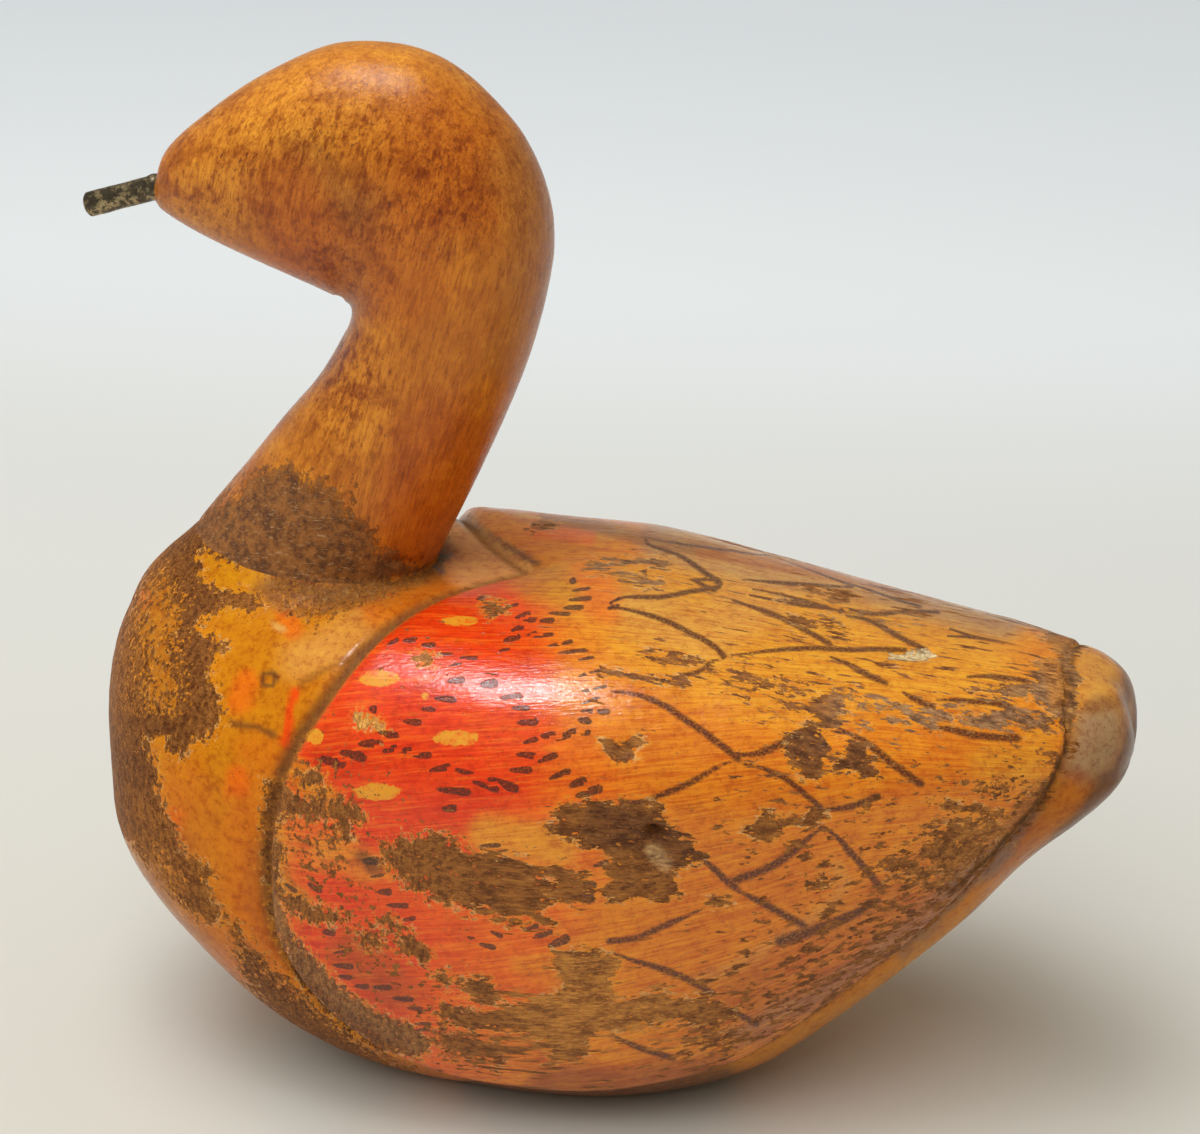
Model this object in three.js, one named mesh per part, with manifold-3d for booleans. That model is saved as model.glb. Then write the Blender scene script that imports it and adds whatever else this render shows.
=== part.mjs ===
// A carved wooden duck of the folk decoy kind: a body with folded wings cut in low relief,
// a head and neck carved from a second block and glued on, and the iron pin that once
// held the bill. Millimetres, +Z up, head towards -X and tail towards +X. The duck is laid
// out with x = 0 near its breast and z = 0 at the floor, and the whole is then moved along
// X so that its origin is at the middle of its length, on the floor.
import * as THREE from 'three';
import { mergeVertices } from 'three/addons/utils/BufferGeometryUtils.js';
import Module from 'manifold-3d';

const wasm = await Module();
wasm.setup();

// Where the middle of the whole length lies.
const ORIGIN_X = 122;

// The body is measured along rays from a centre line, which runs from FRONT to REAR.
// A station says where on the line a ray starts: 0 at FRONT, 1 at REAR. From 0 to -1 the
// rays fan forward to the breast, and from 1 to 2 they fan back to the tail.
const FRONT = { x: 66, z: 66 };
const REAR = { x: 192, z: 90 };

// Outlines of the body under its wings: [x, z] along the back and the belly, and
// [x, half width] seen from above. Each runs from the breast to the tail.
const BREAST_TIP = -1.6;
const TAIL_TIP = 249.5;
const BACK_LINE = [[BREAST_TIP, FRONT.z], [-3.2, 77], [-3.2, 89.5], [-1, 103.5], [5.2, 116],
  [22, 126], [42, 127.5], [64, 126.5], [84, 125.2], [104, 124.3], [126, 124.8], [158, 121.2],
  [192, 117], [226, 114.4], [238, 112.8], [245, 108.8], [248.7, 100.5], [TAIL_TIP, REAR.z]];
const BELLY_LINE = [[BREAST_TIP, FRONT.z], [3, 54], [13.5, 39.5], [30, 22], [48.5, 6.5], [70, -2],
  [98, -5], [134, -5], [163, 3.5], [186, 21], [211, 45.5], [231, 66.5], [243, 79.5],
  [TAIL_TIP, REAR.z]];
const HALF_WIDTHS = [[BREAST_TIP, 0], [0.2, 20], [9, 38], [25, 52], [48, 61], [85, 66], [120, 66],
  [155, 60], [185, 50], [210, 39.5], [230, 30], [241, 23.5], [246.5, 16], [TAIL_TIP, 0]];
const OUTLINE_SAMPLES = 240;

// How square each cross-section is, by station: 2 is an ellipse, more is boxier.
const BACK_SQUARENESS = [[-1, 2], [-0.5, 2.1], [-0.2, 2.4], [0.1, 3.3], [0.25, 3.3], [0.5, 2.9],
  [1, 2.4], [1.5, 2.5], [1.75, 2.3], [2, 2]];
const BELLY_SQUARENESS = [[-1, 2], [-0.7, 1.95], [-0.4, 2.1], [0, 2.4], [0.5, 2.5], [1, 2.3], [1.3, 2.2],
  [1.5, 1.85], [1.8, 1.85], [2, 2]];

// The folded wings: [angle down from the back in degrees, x] of their edges. At angle 0
// they meet on the back, in a point behind the neck and in a straight edge at the tail.
// They stand proud of the body, less at the tail, and their rim is rounded over.
const WING_RAISE = [[-1, 2.5], [1, 2.5], [1.5, 1.6], [1.7, 1.2], [2, 1.2]];
const WING_RIM = 0.6;
const WING_ROOT_DEPTH = 3;
const WING_FRONT = [[0, 104], [20, 87.5], [45, 72], [65, 58.5], [85, 54.5], [105, 57], [120, 68],
  [132, 84], [139, 103], [143, 130], [146, 165]];
const WING_REAR = [[0, 232], [40, 234], [70, 234.5], [90, 230.5], [110, 222], [129, 209],
  [139, 196], [144, 181], [146, 165]];
const WING_LOWEST = 145.7;

// The groove cut along the wings' edges, in cross-section: [out of the wing, up from the
// body under it]. Its cutter stands GROOVE_TOP above the body, and it is smaller at the tail.
const GROOVE = [[-0.8, 0.6], [0.2, -1], [1.5, -1.4], [3, -0.8], [4.4, 0.6]];
const GROOVE_TOP = 4.5;
const GROOVE_AT_TAIL = 0.4;

// The seat of the neck is an ellipse in a plane that slopes down towards the tail, on top
// of a collar that spreads sideways by COLLAR_SPREAD at its foot, and leans forward down
// the breast by COLLAR_FORWARD for each millimetre of depth.
const SEAT_FRONT = [20, 133];
const SEAT_BACK = [79, 126];
const SEAT_HALF_WIDTH = 24;
const COLLAR_DEPTH = 20;
const COLLAR_SPREAD = 13;
const COLLAR_FORWARD = 0.7;
const GLUE_GAP = 0.3;

// Head and neck: the sawn side outline as pairs of points, the under edge with the upper
// edge across from it, and the half width there. The pairs turn about the throat.
const HEAD_NECK = [
  { under: [12, 213], over: [12, 219], half: 4.5 },
  { under: [14.8, 211.2], over: [16, 225.5], half: 8.5 },
  { under: [24.5, 206], over: [25.6, 233.5], half: 14 },
  { under: [40.3, 199.5], over: [39.2, 244.2], half: 19 },
  { under: [54, 193.2], over: [58.5, 252.3], half: 22 },
  { under: [58.5, 190.5], over: [80, 250.5], half: 22.5 },
  { under: [60, 189.5], over: [97, 238], half: 22.5 },
  { under: [59.5, 187], over: [106, 223], half: 22 },
  { under: [58, 183], over: [108.5, 206], half: 21.5 },
  { under: [52, 173], over: [104, 184], half: 20.5 },
  { under: [43, 162], over: [97, 165], half: 20.5 },
  { under: [32, 148], over: [89, 147], half: 21.5 },
  { under: SEAT_FRONT, over: SEAT_BACK, half: SEAT_HALF_WIDTH },
];
const HEAD_SQUARENESS = 2.3;
const NECK_SQUARENESS = 2;

// The iron pin, by the middle of its free end and the middle of its hole's mouth.
const PIN_TIP = [-5.5, 210.5];
const PIN_MOUTH = [12, 216];
const PIN_RADIUS = 3;
const PIN_CHAMFER = 0.7;
const PIN_SET_IN = 15;
const HOLE_CLEARANCE = 0.3;

// How far the two sides' groove cutters reach across the middle of the back.
const GROOVE_OVERLAP = 0.5;

// How finely the surfaces are cut into facets, and how often an interval is halved.
const BODY_STATIONS = 48;
const BODY_SIDES = 44;
const WING_ROWS = 17;
const WING_COLUMNS = 48;
const NECK_RINGS = 34;
const NECK_SIDES = 26;
const GROOVE_STEPS = 22;
const COLLAR_RINGS = 8;
const PIN_SIDES = 20;
const HALVINGS = 30;

// Points closer than this are one corner of a solid.
const MERGE_DISTANCE = 1e-4;

const radians = THREE.MathUtils.degToRad;

// `count` numbers at even steps from `from` to `to`.
const spread = (count, from, to) => Array.from({ length: count },
  (_, i) => from + (to - from) * (i / (count - 1)));

// A smooth function through [position, value] knots: cubic Hermite pieces whose slopes are
// the weighted means of the slopes on either side.
function throughKnots(knots) {
  const x = knots.map((k) => k[0]);
  const y = knots.map((k) => k[1]);
  const last = x.length - 1;
  const rise = (i) => (y[i + 1] - y[i]) / (x[i + 1] - x[i]);
  const slope = x.map((_, i) => {
    if (i === 0) return rise(0);
    if (i === last) return rise(last - 1);
    const before = x[i] - x[i - 1];
    const after = x[i + 1] - x[i];
    return (rise(i - 1) * after + rise(i) * before) / (before + after);
  });
  return (at) => {
    const p = THREE.MathUtils.clamp(at, x[0], x[last]);
    let i = 0;
    while (i < last - 1 && p > x[i + 1]) i += 1;
    const h = x[i + 1] - x[i];
    const t = (p - x[i]) / h;
    const a = y[i] * (1 + 2 * t) * (1 - t) ** 2 + y[i + 1] * t * t * (3 - 2 * t);
    return a + h * (slope[i] * t * (1 - t) ** 2 - slope[i + 1] * t * t * (1 - t));
  };
}

// Station and distance from the centre line of a point `off` away from it at x.
function stationOf(x, off) {
  if (x < FRONT.x) {
    const fan = Math.atan2(off, FRONT.x - x) / (Math.PI / 2);
    return [fan - 1, Math.hypot(x - FRONT.x, off)];
  }
  if (x > REAR.x) {
    const fan = Math.atan2(off, x - REAR.x) / (Math.PI / 2);
    return [2 - fan, Math.hypot(x - REAR.x, off)];
  }
  return [(x - FRONT.x) / (REAR.x - FRONT.x), off];
}

// The centre line's height at x, level past its ends.
function lineHeight(x) {
  const t = THREE.MathUtils.clamp((x - FRONT.x) / (REAR.x - FRONT.x), 0, 1);
  return FRONT.z + (REAR.z - FRONT.z) * t;
}

// An outline as ray length by station. It is a smooth curve through the points, with
// `before` and `after` as the points that it would meet next, and it is sampled finely.
function rayLengths(points, before, after, offset) {
  const knots = [before, ...points, after];
  const along = [0];
  knots.slice(1).forEach(([x, y], i) => along.push(along[i] + Math.hypot(x - knots[i][0],
    y - knots[i][1])));
  const [xAt, yAt] = [0, 1].map((k) => throughKnots(knots.map((knot, i) => [along[i], knot[k]])));
  const samples = spread(OUTLINE_SAMPLES, along[1], along[along.length - 2])
    .map((s) => stationOf(xAt(s), offset(xAt(s), yAt(s))));
  return (station) => {
    const i = THREE.MathUtils.clamp(samples.findIndex((s) => s[0] > station), 1,
      samples.length - 1);
    const [low, high] = station < samples[samples.length - 1][0] ? samples.slice(i - 1, i + 1)
      : samples.slice(-2);
    return THREE.MathUtils.mapLinear(station, low[0], high[0], low[1], high[1]);
  };
}

const second = (points) => points[1];
const nextToLast = (points) => points[points.length - 2];
const mirrored = ([x, y]) => [x, -y];
const fromLine = (x, z) => Math.abs(z - lineHeight(x));
const backRay = rayLengths(BACK_LINE, second(BELLY_LINE), nextToLast(BELLY_LINE), fromLine);
const bellyRay = rayLengths(BELLY_LINE, second(BACK_LINE), nextToLast(BACK_LINE), fromLine);
const sideRay = rayLengths(HALF_WIDTHS, mirrored(second(HALF_WIDTHS)),
  mirrored(nextToLast(HALF_WIDTHS)), (x, width) => Math.abs(width));
const backSquareness = throughKnots(BACK_SQUARENESS);
const bellySquareness = throughKnots(BELLY_SQUARENESS);

// Where the ray at `station` starts, and its direction at `angle` down from the back.
// A positive angle is on the duck's left side, which is -Y.
function ray(station, angle) {
  const t = THREE.MathUtils.clamp(station, 0, 1);
  const start = new THREE.Vector3(FRONT.x + (REAR.x - FRONT.x) * t, 0,
    FRONT.z + (REAR.z - FRONT.z) * t);
  const fan = (station - t + 1) * (Math.PI / 2);
  const way = new THREE.Vector3(-Math.cos(fan), -Math.sin(fan) * Math.sin(angle),
    Math.sin(fan) * Math.cos(angle));
  return { start, way };
}

// A point of the body without its wings, or `raise` above it: a superellipse section.
function bodyPoint(station, angle, raise = 0) {
  const { start, way } = ray(station, angle);
  const up = Math.cos(angle) > 0;
  const n = up ? backSquareness(station) : bellySquareness(station);
  const tall = up ? backRay(station) : bellyRay(station);
  const across = (Math.abs(Math.sin(angle)) / sideRay(station)) ** n;
  const along = (Math.abs(Math.cos(angle)) / tall) ** n;
  return start.addScaledVector(way, (across + along) ** (-1 / n) + raise);
}

// The station whose ray at `angle` meets the body at x, by halving the interval.
function stationAt(x, angle) {
  let low = -1;
  let high = 2;
  for (let i = 0; i < HALVINGS; i += 1) {
    const middle = (low + high) / 2;
    if (bodyPoint(middle, angle).x < x) low = middle;
    else high = middle;
  }
  return (low + high) / 2;
}

// A closed skin over rings of points with equal counts, with a fan at each end to a point.
function skin(rings, first, final) {
  const sides = rings[0].length;
  const points = rings.flat().concat(first, final);
  const triangles = [];
  for (let i = 0; i < rings.length; i += 1) {
    for (let j = 0; j < sides; j += 1) {
      const k = (j + 1) % sides;
      const here = [i * sides + j, i * sides + k];
      if (i === 0) triangles.push(points.length - 2, here[1], here[0]);
      if (i === rings.length - 1) {
        triangles.push(points.length - 1, here[0], here[1]);
      } else {
        const next = [here[0] + sides, here[1] + sides];
        triangles.push(here[0], here[1], next[1], here[0], next[1], next[0]);
      }
    }
  }
  const geometry = new THREE.BufferGeometry();
  geometry.setAttribute('position',
    new THREE.Float32BufferAttribute(points.flatMap((p) => p.toArray()), 3));
  geometry.setIndex(triangles);
  return geometry;
}

const meanOf = (points) => points.reduce((sum, p) => sum.add(p), new THREE.Vector3())
  .divideScalar(points.length);

// Six times the signed volume: negative when the faces point in.
function windingOf(positions, index) {
  const corner = [0, 1, 2].map(() => new THREE.Vector3());
  let sum = 0;
  for (let i = 0; i < index.length; i += 3) {
    corner.forEach((c, k) => c.fromArray(positions, index[i + k] * 3));
    sum += corner[0].dot(corner[1].clone().cross(corner[2]));
  }
  return sum;
}

// A geometry as a solid that can be joined and cut.
function solidOf(geometry) {
  const bare = geometry.clone();
  bare.deleteAttribute('normal');
  bare.deleteAttribute('uv');
  const merged = mergeVertices(bare, MERGE_DISTANCE);
  const vertProperties = new Float32Array(merged.attributes.position.array);
  const triVerts = new Uint32Array(merged.index.array);
  if (windingOf(vertProperties, triVerts) < 0) {
    for (let i = 0; i < triVerts.length; i += 3) {
      [triVerts[i + 1], triVerts[i + 2]] = [triVerts[i + 2], triVerts[i + 1]];
    }
  }
  return new wasm.Manifold(new wasm.Mesh({ numProp: 3, vertProperties, triVerts }));
}

// A solid back as a faceted geometry.
function geometryOf(solid) {
  const mesh = solid.getMesh();
  const geometry = new THREE.BufferGeometry();
  geometry.setAttribute('position', new THREE.Float32BufferAttribute(mesh.vertProperties, 3));
  geometry.setIndex(new THREE.BufferAttribute(mesh.triVerts, 1));
  const faceted = geometry.toNonIndexed();
  faceted.computeVertexNormals();
  return faceted;
}

// The egg of the body, from breast to tail.
function egg() {
  const stations = spread(BODY_STATIONS, -1, 2).slice(1, -1);
  const angles = spread(BODY_SIDES + 1, -Math.PI, Math.PI).slice(0, -1);
  const rings = stations.map((s) => angles.map((a) => bodyPoint(s, a)));
  return skin(rings, bodyPoint(-1, 0), bodyPoint(2, 0));
}

// Both folded wings as one raised plate over the back, down to WING_LOWEST on each side.
// Its columns run round the body and crowd together at its lower edges.
const wingFront = throughKnots(WING_FRONT);
const wingRear = throughKnots(WING_REAR);
const wingRaise = throughKnots(WING_RAISE);
function wings() {
  const rings = spread(WING_COLUMNS + 1, -1, 1).map((t) => {
    const degrees = Math.abs(Math.sin((t * Math.PI) / 2)) * WING_LOWEST;
    const angle = radians(degrees) * Math.sign(t);
    const ends = [wingFront(degrees), wingRear(degrees)].map((x) => stationAt(x, angle));
    const row = spread(WING_ROWS, 0, Math.PI)
      .map((turn) => THREE.MathUtils.mapLinear(Math.cos(turn), 1, -1, ends[0], ends[1]));
    const top = row.map((s, i) => {
      const rim = i === 0 || i === WING_ROWS - 1 ? WING_RIM : 1;
      return bodyPoint(s, angle, wingRaise(s) * rim);
    });
    const root = row.map((s) => bodyPoint(s, angle, -WING_ROOT_DEPTH)).reverse();
    return top.concat(root);
  });
  return skin(rings, meanOf(rings[0]), meanOf(rings[WING_COLUMNS]));
}

// The cutter for the groove on one side of the duck: its cross-section swept round the
// wing's edge, from the middle of the back in front to the middle of the back behind, and
// growing smaller along the rear edge. `side` is 1 for the left and -1 for the right.
function grooveCutter(side) {
  const downs = spread(GROOVE_STEPS + 1, 0, 1).map((t) => Math.sin((t * Math.PI) / 2)
    * WING_LOWEST);
  const edge = (curve) => (degrees) => {
    const angle = radians(degrees) * side;
    return [stationAt(curve(degrees), angle), angle];
  };
  const route = downs.map(edge(wingFront)).concat(downs.slice(0, -1).reverse().map(edge(wingRear)));
  const line = route.map(([station, angle]) => bodyPoint(station, angle));
  const last = line.length - 1;
  const rings = line.map((point, i) => {
    const [station, angle] = route[i];
    const along = line[Math.min(i + 1, last)].clone().sub(line[Math.max(i - 1, 0)]);
    if (i === 0) along.set(0, -side, 0);
    if (i === last) along.set(0, side, 0);
    const up = ray(station, angle).way;
    const out = up.clone().cross(along).normalize().multiplyScalar(-side);
    const across = i === 0 || i === last ? side * GROOVE_OVERLAP : 0;
    const middle = point.clone().add(new THREE.Vector3(0, across, 0));
    const size = THREE.MathUtils.lerp(1, GROOVE_AT_TAIL, Math.max(0, (2 * i) / last - 1));
    const floor = GROOVE.map(([outward, upward]) => [outward * size, upward * size]);
    const section = [[floor[0][0], GROOVE_TOP], ...floor, [floor[floor.length - 1][0], GROOVE_TOP]];
    return section.map(([outward, upward]) => middle.clone()
      .addScaledVector(out, outward).addScaledVector(up, upward));
  });
  return skin(rings, meanOf(rings[0]), meanOf(rings[last]));
}

// The seat's own directions: down its slope, and square to it.
const seatMiddle = new THREE.Vector3((SEAT_FRONT[0] + SEAT_BACK[0]) / 2, 0,
  (SEAT_FRONT[1] + SEAT_BACK[1]) / 2);
const seatSlope = new THREE.Vector3(SEAT_BACK[0] - SEAT_FRONT[0], 0, SEAT_BACK[1] - SEAT_FRONT[1]);
const seatHalfLength = seatSlope.length() / 2;
seatSlope.normalize();
const seatNormal = new THREE.Vector3(-seatSlope.z, 0, seatSlope.x);

// The collar that carries the neck: a stack of ellipses from the seat down into the body.
// Its sides spread as a quarter round, and its front runs straight down the breast.
function collar() {
  const turns = spread(NECK_SIDES + 1, 0, 2 * Math.PI).slice(0, -1);
  const rings = spread(COLLAR_RINGS, 0, COLLAR_DEPTH).map((down) => {
    const round = COLLAR_SPREAD * (1 - Math.sqrt(1 - (down / COLLAR_DEPTH) ** 2));
    return turns.map((turn) => {
      const forward = Math.cos(turn) < 0;
      const reach = seatHalfLength + (forward ? down * COLLAR_FORWARD : 0);
      return seatMiddle.clone()
        .addScaledVector(seatSlope, Math.cos(turn) * reach)
        .addScaledVector(seatNormal, -down)
        .add(new THREE.Vector3(0, Math.sin(turn) * (SEAT_HALF_WIDTH + round), 0));
    });
  });
  return skin(rings, meanOf(rings[0]), meanOf(rings[rings.length - 1]));
}

// Head and neck: elliptical sections across the sawn outline, pair by pair.
const signedPower = (value, power) => Math.sign(value) * Math.abs(value) ** power;
function headAndNeck() {
  const place = (pick) => throughKnots(HEAD_NECK.map((pair, i) => [i, pick(pair)]));
  const underX = place((p) => p.under[0]);
  const underZ = place((p) => p.under[1]);
  const overX = place((p) => p.over[0]);
  const overZ = place((p) => p.over[1]);
  const half = place((p) => p.half);
  const last = HEAD_NECK.length - 1;
  const turns = spread(NECK_SIDES + 1, 0, 2 * Math.PI).slice(0, -1);
  const rings = spread(NECK_RINGS, 0, last).map((s) => {
    const under = new THREE.Vector3(underX(s), 0, underZ(s));
    const over = new THREE.Vector3(overX(s), 0, overZ(s));
    if (s === last) [under, over].forEach((p) => p.addScaledVector(seatNormal, GLUE_GAP));
    const n = THREE.MathUtils.mapLinear(s, 0, last, HEAD_SQUARENESS, NECK_SQUARENESS);
    return turns.map((turn) => {
      const toOver = (1 + signedPower(Math.cos(turn), 2 / n)) / 2;
      const point = under.clone().lerp(over, toOver);
      point.y = half(s) * signedPower(Math.sin(turn), 2 / n);
      return point;
    });
  });
  return skin(rings, meanOf(rings[0]), meanOf(rings[rings.length - 1]));
}

// A round rod along +Y from 0 to `length`, turned on a lathe, with its end at 0 chamfered.
function rod(radius, length, chamfer) {
  const profile = [[0, 0], [radius - chamfer, 0], [radius, chamfer], [radius, length], [0, length]];
  return new THREE.LatheGeometry(profile.map(([r, y]) => new THREE.Vector2(r, y)), PIN_SIDES);
}
const pinTip = new THREE.Vector3(PIN_TIP[0], 0, PIN_TIP[1]);
const pinMouth = new THREE.Vector3(PIN_MOUTH[0], 0, PIN_MOUTH[1]);
const pinWay = pinMouth.clone().sub(pinTip).normalize();
const pinLength = pinTip.distanceTo(pinMouth) + PIN_SET_IN;
const pinTurn = new THREE.Quaternion().setFromUnitVectors(new THREE.Vector3(0, 1, 0), pinWay);

// A rod moved to where the pin is, with its chamfered end at the pin's tip.
const placed = (geometry) => geometry.applyQuaternion(pinTurn).translate(...pinTip.toArray());

const wood = (color, roughness) => new THREE.MeshStandardMaterial({ color, roughness, metalness: 0 });
const paintedWood = wood(0xb8661f, 0.5);
const bareWood = wood(0x9c5a22, 0.42);
const iron = new THREE.MeshStandardMaterial({ color: 0x3d382e, roughness: 0.5, metalness: 0.8 });

const duck = new THREE.Group();
duck.position.x = -ORIGIN_X;
function addPiece(name, geometry, material) {
  const mesh = new THREE.Mesh(geometry, material);
  mesh.name = name;
  duck.add(mesh);
}

const carved = [solidOf(collar()), solidOf(wings())]
  .reduce((sum, solid) => sum.add(solid), solidOf(egg()))
  .subtract(solidOf(grooveCutter(1)))
  .subtract(solidOf(grooveCutter(-1)))
  .trimByPlane([0, 0, 1], 0);
addPiece('body', geometryOf(carved), paintedWood);

const hole = placed(rod(PIN_RADIUS + HOLE_CLEARANCE, pinLength + HOLE_CLEARANCE, 0));
addPiece('head_and_neck', geometryOf(solidOf(headAndNeck()).subtract(solidOf(hole))), bareWood);
addPiece('bill_pin', placed(rod(PIN_RADIUS, pinLength, PIN_CHAMFER)), iron);

export default duck;
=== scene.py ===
"""Looks of the carved wooden duck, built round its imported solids.

The body, the head with its neck and the iron pin are worked out again as fine surfaces from
the same sizes as the solids, with the gouged groove, knot hole, splits and dents cut in them.
Sizes are millimetres as the carver would lay them out: x from the breast to the tail, y away
from the camera, z up from the floor. Paint is laid on in the pixels of the photograph's
1200 x 1134 frame, seen from the duck's left, and the right side repeats it in mirror image.
"""
import functools
import itertools
import logging
import math
from collections.abc import Callable, Sequence
from dataclasses import dataclass, field
from enum import Enum

import bpy
import numpy as np
from bpy.types import Material, Mesh, Node, NodeOutputs, NodeSocket, NodeTree, Object
from mathutils import Matrix, Vector


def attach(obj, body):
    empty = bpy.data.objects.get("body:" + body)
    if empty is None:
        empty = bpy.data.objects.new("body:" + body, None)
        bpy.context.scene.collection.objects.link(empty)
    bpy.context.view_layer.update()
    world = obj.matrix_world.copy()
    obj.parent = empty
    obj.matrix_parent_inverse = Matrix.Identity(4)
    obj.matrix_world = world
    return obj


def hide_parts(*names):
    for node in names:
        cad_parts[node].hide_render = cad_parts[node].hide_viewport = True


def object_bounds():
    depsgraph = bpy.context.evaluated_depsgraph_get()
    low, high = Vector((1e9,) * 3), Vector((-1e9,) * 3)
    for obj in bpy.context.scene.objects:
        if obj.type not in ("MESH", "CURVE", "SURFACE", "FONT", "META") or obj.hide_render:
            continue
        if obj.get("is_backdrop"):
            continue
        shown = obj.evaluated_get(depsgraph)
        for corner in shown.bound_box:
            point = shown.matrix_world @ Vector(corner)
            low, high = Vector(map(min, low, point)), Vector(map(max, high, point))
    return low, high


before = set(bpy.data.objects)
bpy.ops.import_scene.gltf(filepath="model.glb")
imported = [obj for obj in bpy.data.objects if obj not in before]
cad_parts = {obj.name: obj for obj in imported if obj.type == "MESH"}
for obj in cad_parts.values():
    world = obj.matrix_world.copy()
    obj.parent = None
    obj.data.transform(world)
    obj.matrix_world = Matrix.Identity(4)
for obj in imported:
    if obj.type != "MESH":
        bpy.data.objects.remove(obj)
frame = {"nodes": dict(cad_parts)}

log = logging.getLogger("wooden_duck")

# The row frame's origin is the middle of the whole length, on the floor.
ORIGIN_X = 122.0
MM = 0.001
# Keeps a division away from zero.
TINY = 1e-12
# Distances in half widths of a brush mark: well away from it, and added where none is to show.
FAR_OFF = 9.0
OUT_OF_SIGHT = 40.0

Array = np.ndarray
Point2 = tuple[float, float]
Point3 = tuple[float, float, float]
Knots = Sequence[Point2]
Line = tuple[Point2, ...]
Colour = tuple[float, float, float]


class Curve:
    """A smooth function through [position, value] knots.

    It is made of cubic Hermite pieces whose slopes are the weighted means of the slopes on
    either side, and it is level past its ends.
    """

    def __init__(self, knots: Knots) -> None:
        """Works out the slope at each knot.

        Args:
            knots: Position and value pairs, in order of position.
        """
        self.x, self.y = np.asarray(knots, float).T
        step = np.diff(self.x)
        rise = np.diff(self.y) / step
        inner = (rise[:-1] * step[1:] + rise[1:] * step[:-1]) / (step[:-1] + step[1:])
        self.slope = np.concatenate([rise[:1], inner, rise[-1:]])

    def __call__(self, at: Array | float) -> Array:
        """Gives the curve's value.

        Args:
            at: Positions, of any shape.

        Returns:
            The values there, in the same shape.
        """
        p = np.clip(at, self.x[0], self.x[-1])
        i = np.searchsorted(self.x[1:-1], p)
        h = self.x[i + 1] - self.x[i]
        t = (p - self.x[i]) / h
        ends = self.y[i] * (1 + 2 * t) * (1 - t) ** 2 + self.y[i + 1] * t * t * (3 - 2 * t)
        return ends + h * (self.slope[i] * t * (1 - t) ** 2 - self.slope[i + 1] * t * t * (1 - t))


def smooth_step(value: Array, low: float, high: float) -> Array:
    """Rises from 0 where the value is `low` to 1 where it is `high`, level at both ends."""
    t = np.clip((value - low) / (high - low), 0, 1)
    return t * t * (3 - 2 * t)


def bump(distance: Array, reach: float) -> Array:
    """A round bump, 1 at distance 0 and 0 from `reach` outwards."""
    return 1 - smooth_step(np.abs(distance), 0, reach)


def noise(points: Array, cell: float, seed: int) -> Array:
    """Smooth repeatable noise: random values on a cubic lattice, blended across each cell.

    Args:
        points: Places, with three coordinates in the last axis.
        cell: Size of a lattice cell, in the points' units.
        seed: Picks another field.

    Returns:
        Values from -1 to 1, one for each place.
    """
    q = np.asarray(points) / cell
    whole = np.floor(q).astype(np.int64)
    part = q - whole
    part = part * part * (3 - 2 * part)
    total = np.zeros(q.shape[:-1])
    for corner in itertools.product((0, 1), repeat=3):
        at = whole + corner
        mixed = at[..., 0] * 73856093 ^ at[..., 1] * 19349663 ^ at[..., 2] * 83492791 ^ seed * 2654435761
        mixed = (mixed ^ (mixed >> 13)) * 1274126177 & 0x7FFFFFFF
        mixed = mixed ^ (mixed >> 16)
        value = (mixed & 0xFFFF) / 32767.5 - 1
        weight = np.prod(np.where(corner, part, 1 - part), axis=-1)
        total += value * weight
    return total


def layered_noise(points: Array, cell: float, seed: int, layers: int = 3) -> Array:
    """Noise at `cell` plus half as much at half of it, and so on: mostly from -1 to 1."""
    return sum(noise(points, cell / 2**k, seed + k) / 2**k for k in range(layers)) / 1.5


def unit(vectors: Array) -> Array:
    """Scales vectors to length one."""
    return vectors / np.maximum(np.linalg.norm(vectors, axis=-1, keepdims=True), TINY)


def run_along(points: Array) -> Array:
    """How far along a line of places each one lies, from the first."""
    return np.concatenate([[0], np.cumsum(np.linalg.norm(np.diff(points, axis=0), axis=1))])


def on_middle(point: Point2) -> Array:
    """The place on the duck's middle plane with the given x and z."""
    return np.array([point[0], 0, point[1]])


def folded(points: Array) -> Array:
    """Places with the duck's right side folded over onto its left."""
    return points * (1, 0, 1) - np.abs(points) * (0, 1, 0)


def to_segment(points: Array, start: Array, end: Array) -> tuple[Array, Array]:
    """Measures places against a straight segment, on a plane or in space.

    Args:
        points: Places, of shape (n, 2) or (n, 3).
        start: Where the segment starts.
        end: Where it ends.

    Returns:
        Each place's distance, and how far along the segment it is nearest to, from 0 to 1.
    """
    along = end - start
    t = np.clip((points - start) @ along / max(along @ along, TINY), 0, 1)
    return np.linalg.norm(points - start - t[:, None] * along, axis=1), t


def add_object(name: str, data: bpy.types.ID) -> Object:
    """Adds an object to the scene."""
    added = bpy.data.objects.new(name, data)
    bpy.context.scene.collection.objects.link(added)
    return added


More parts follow.
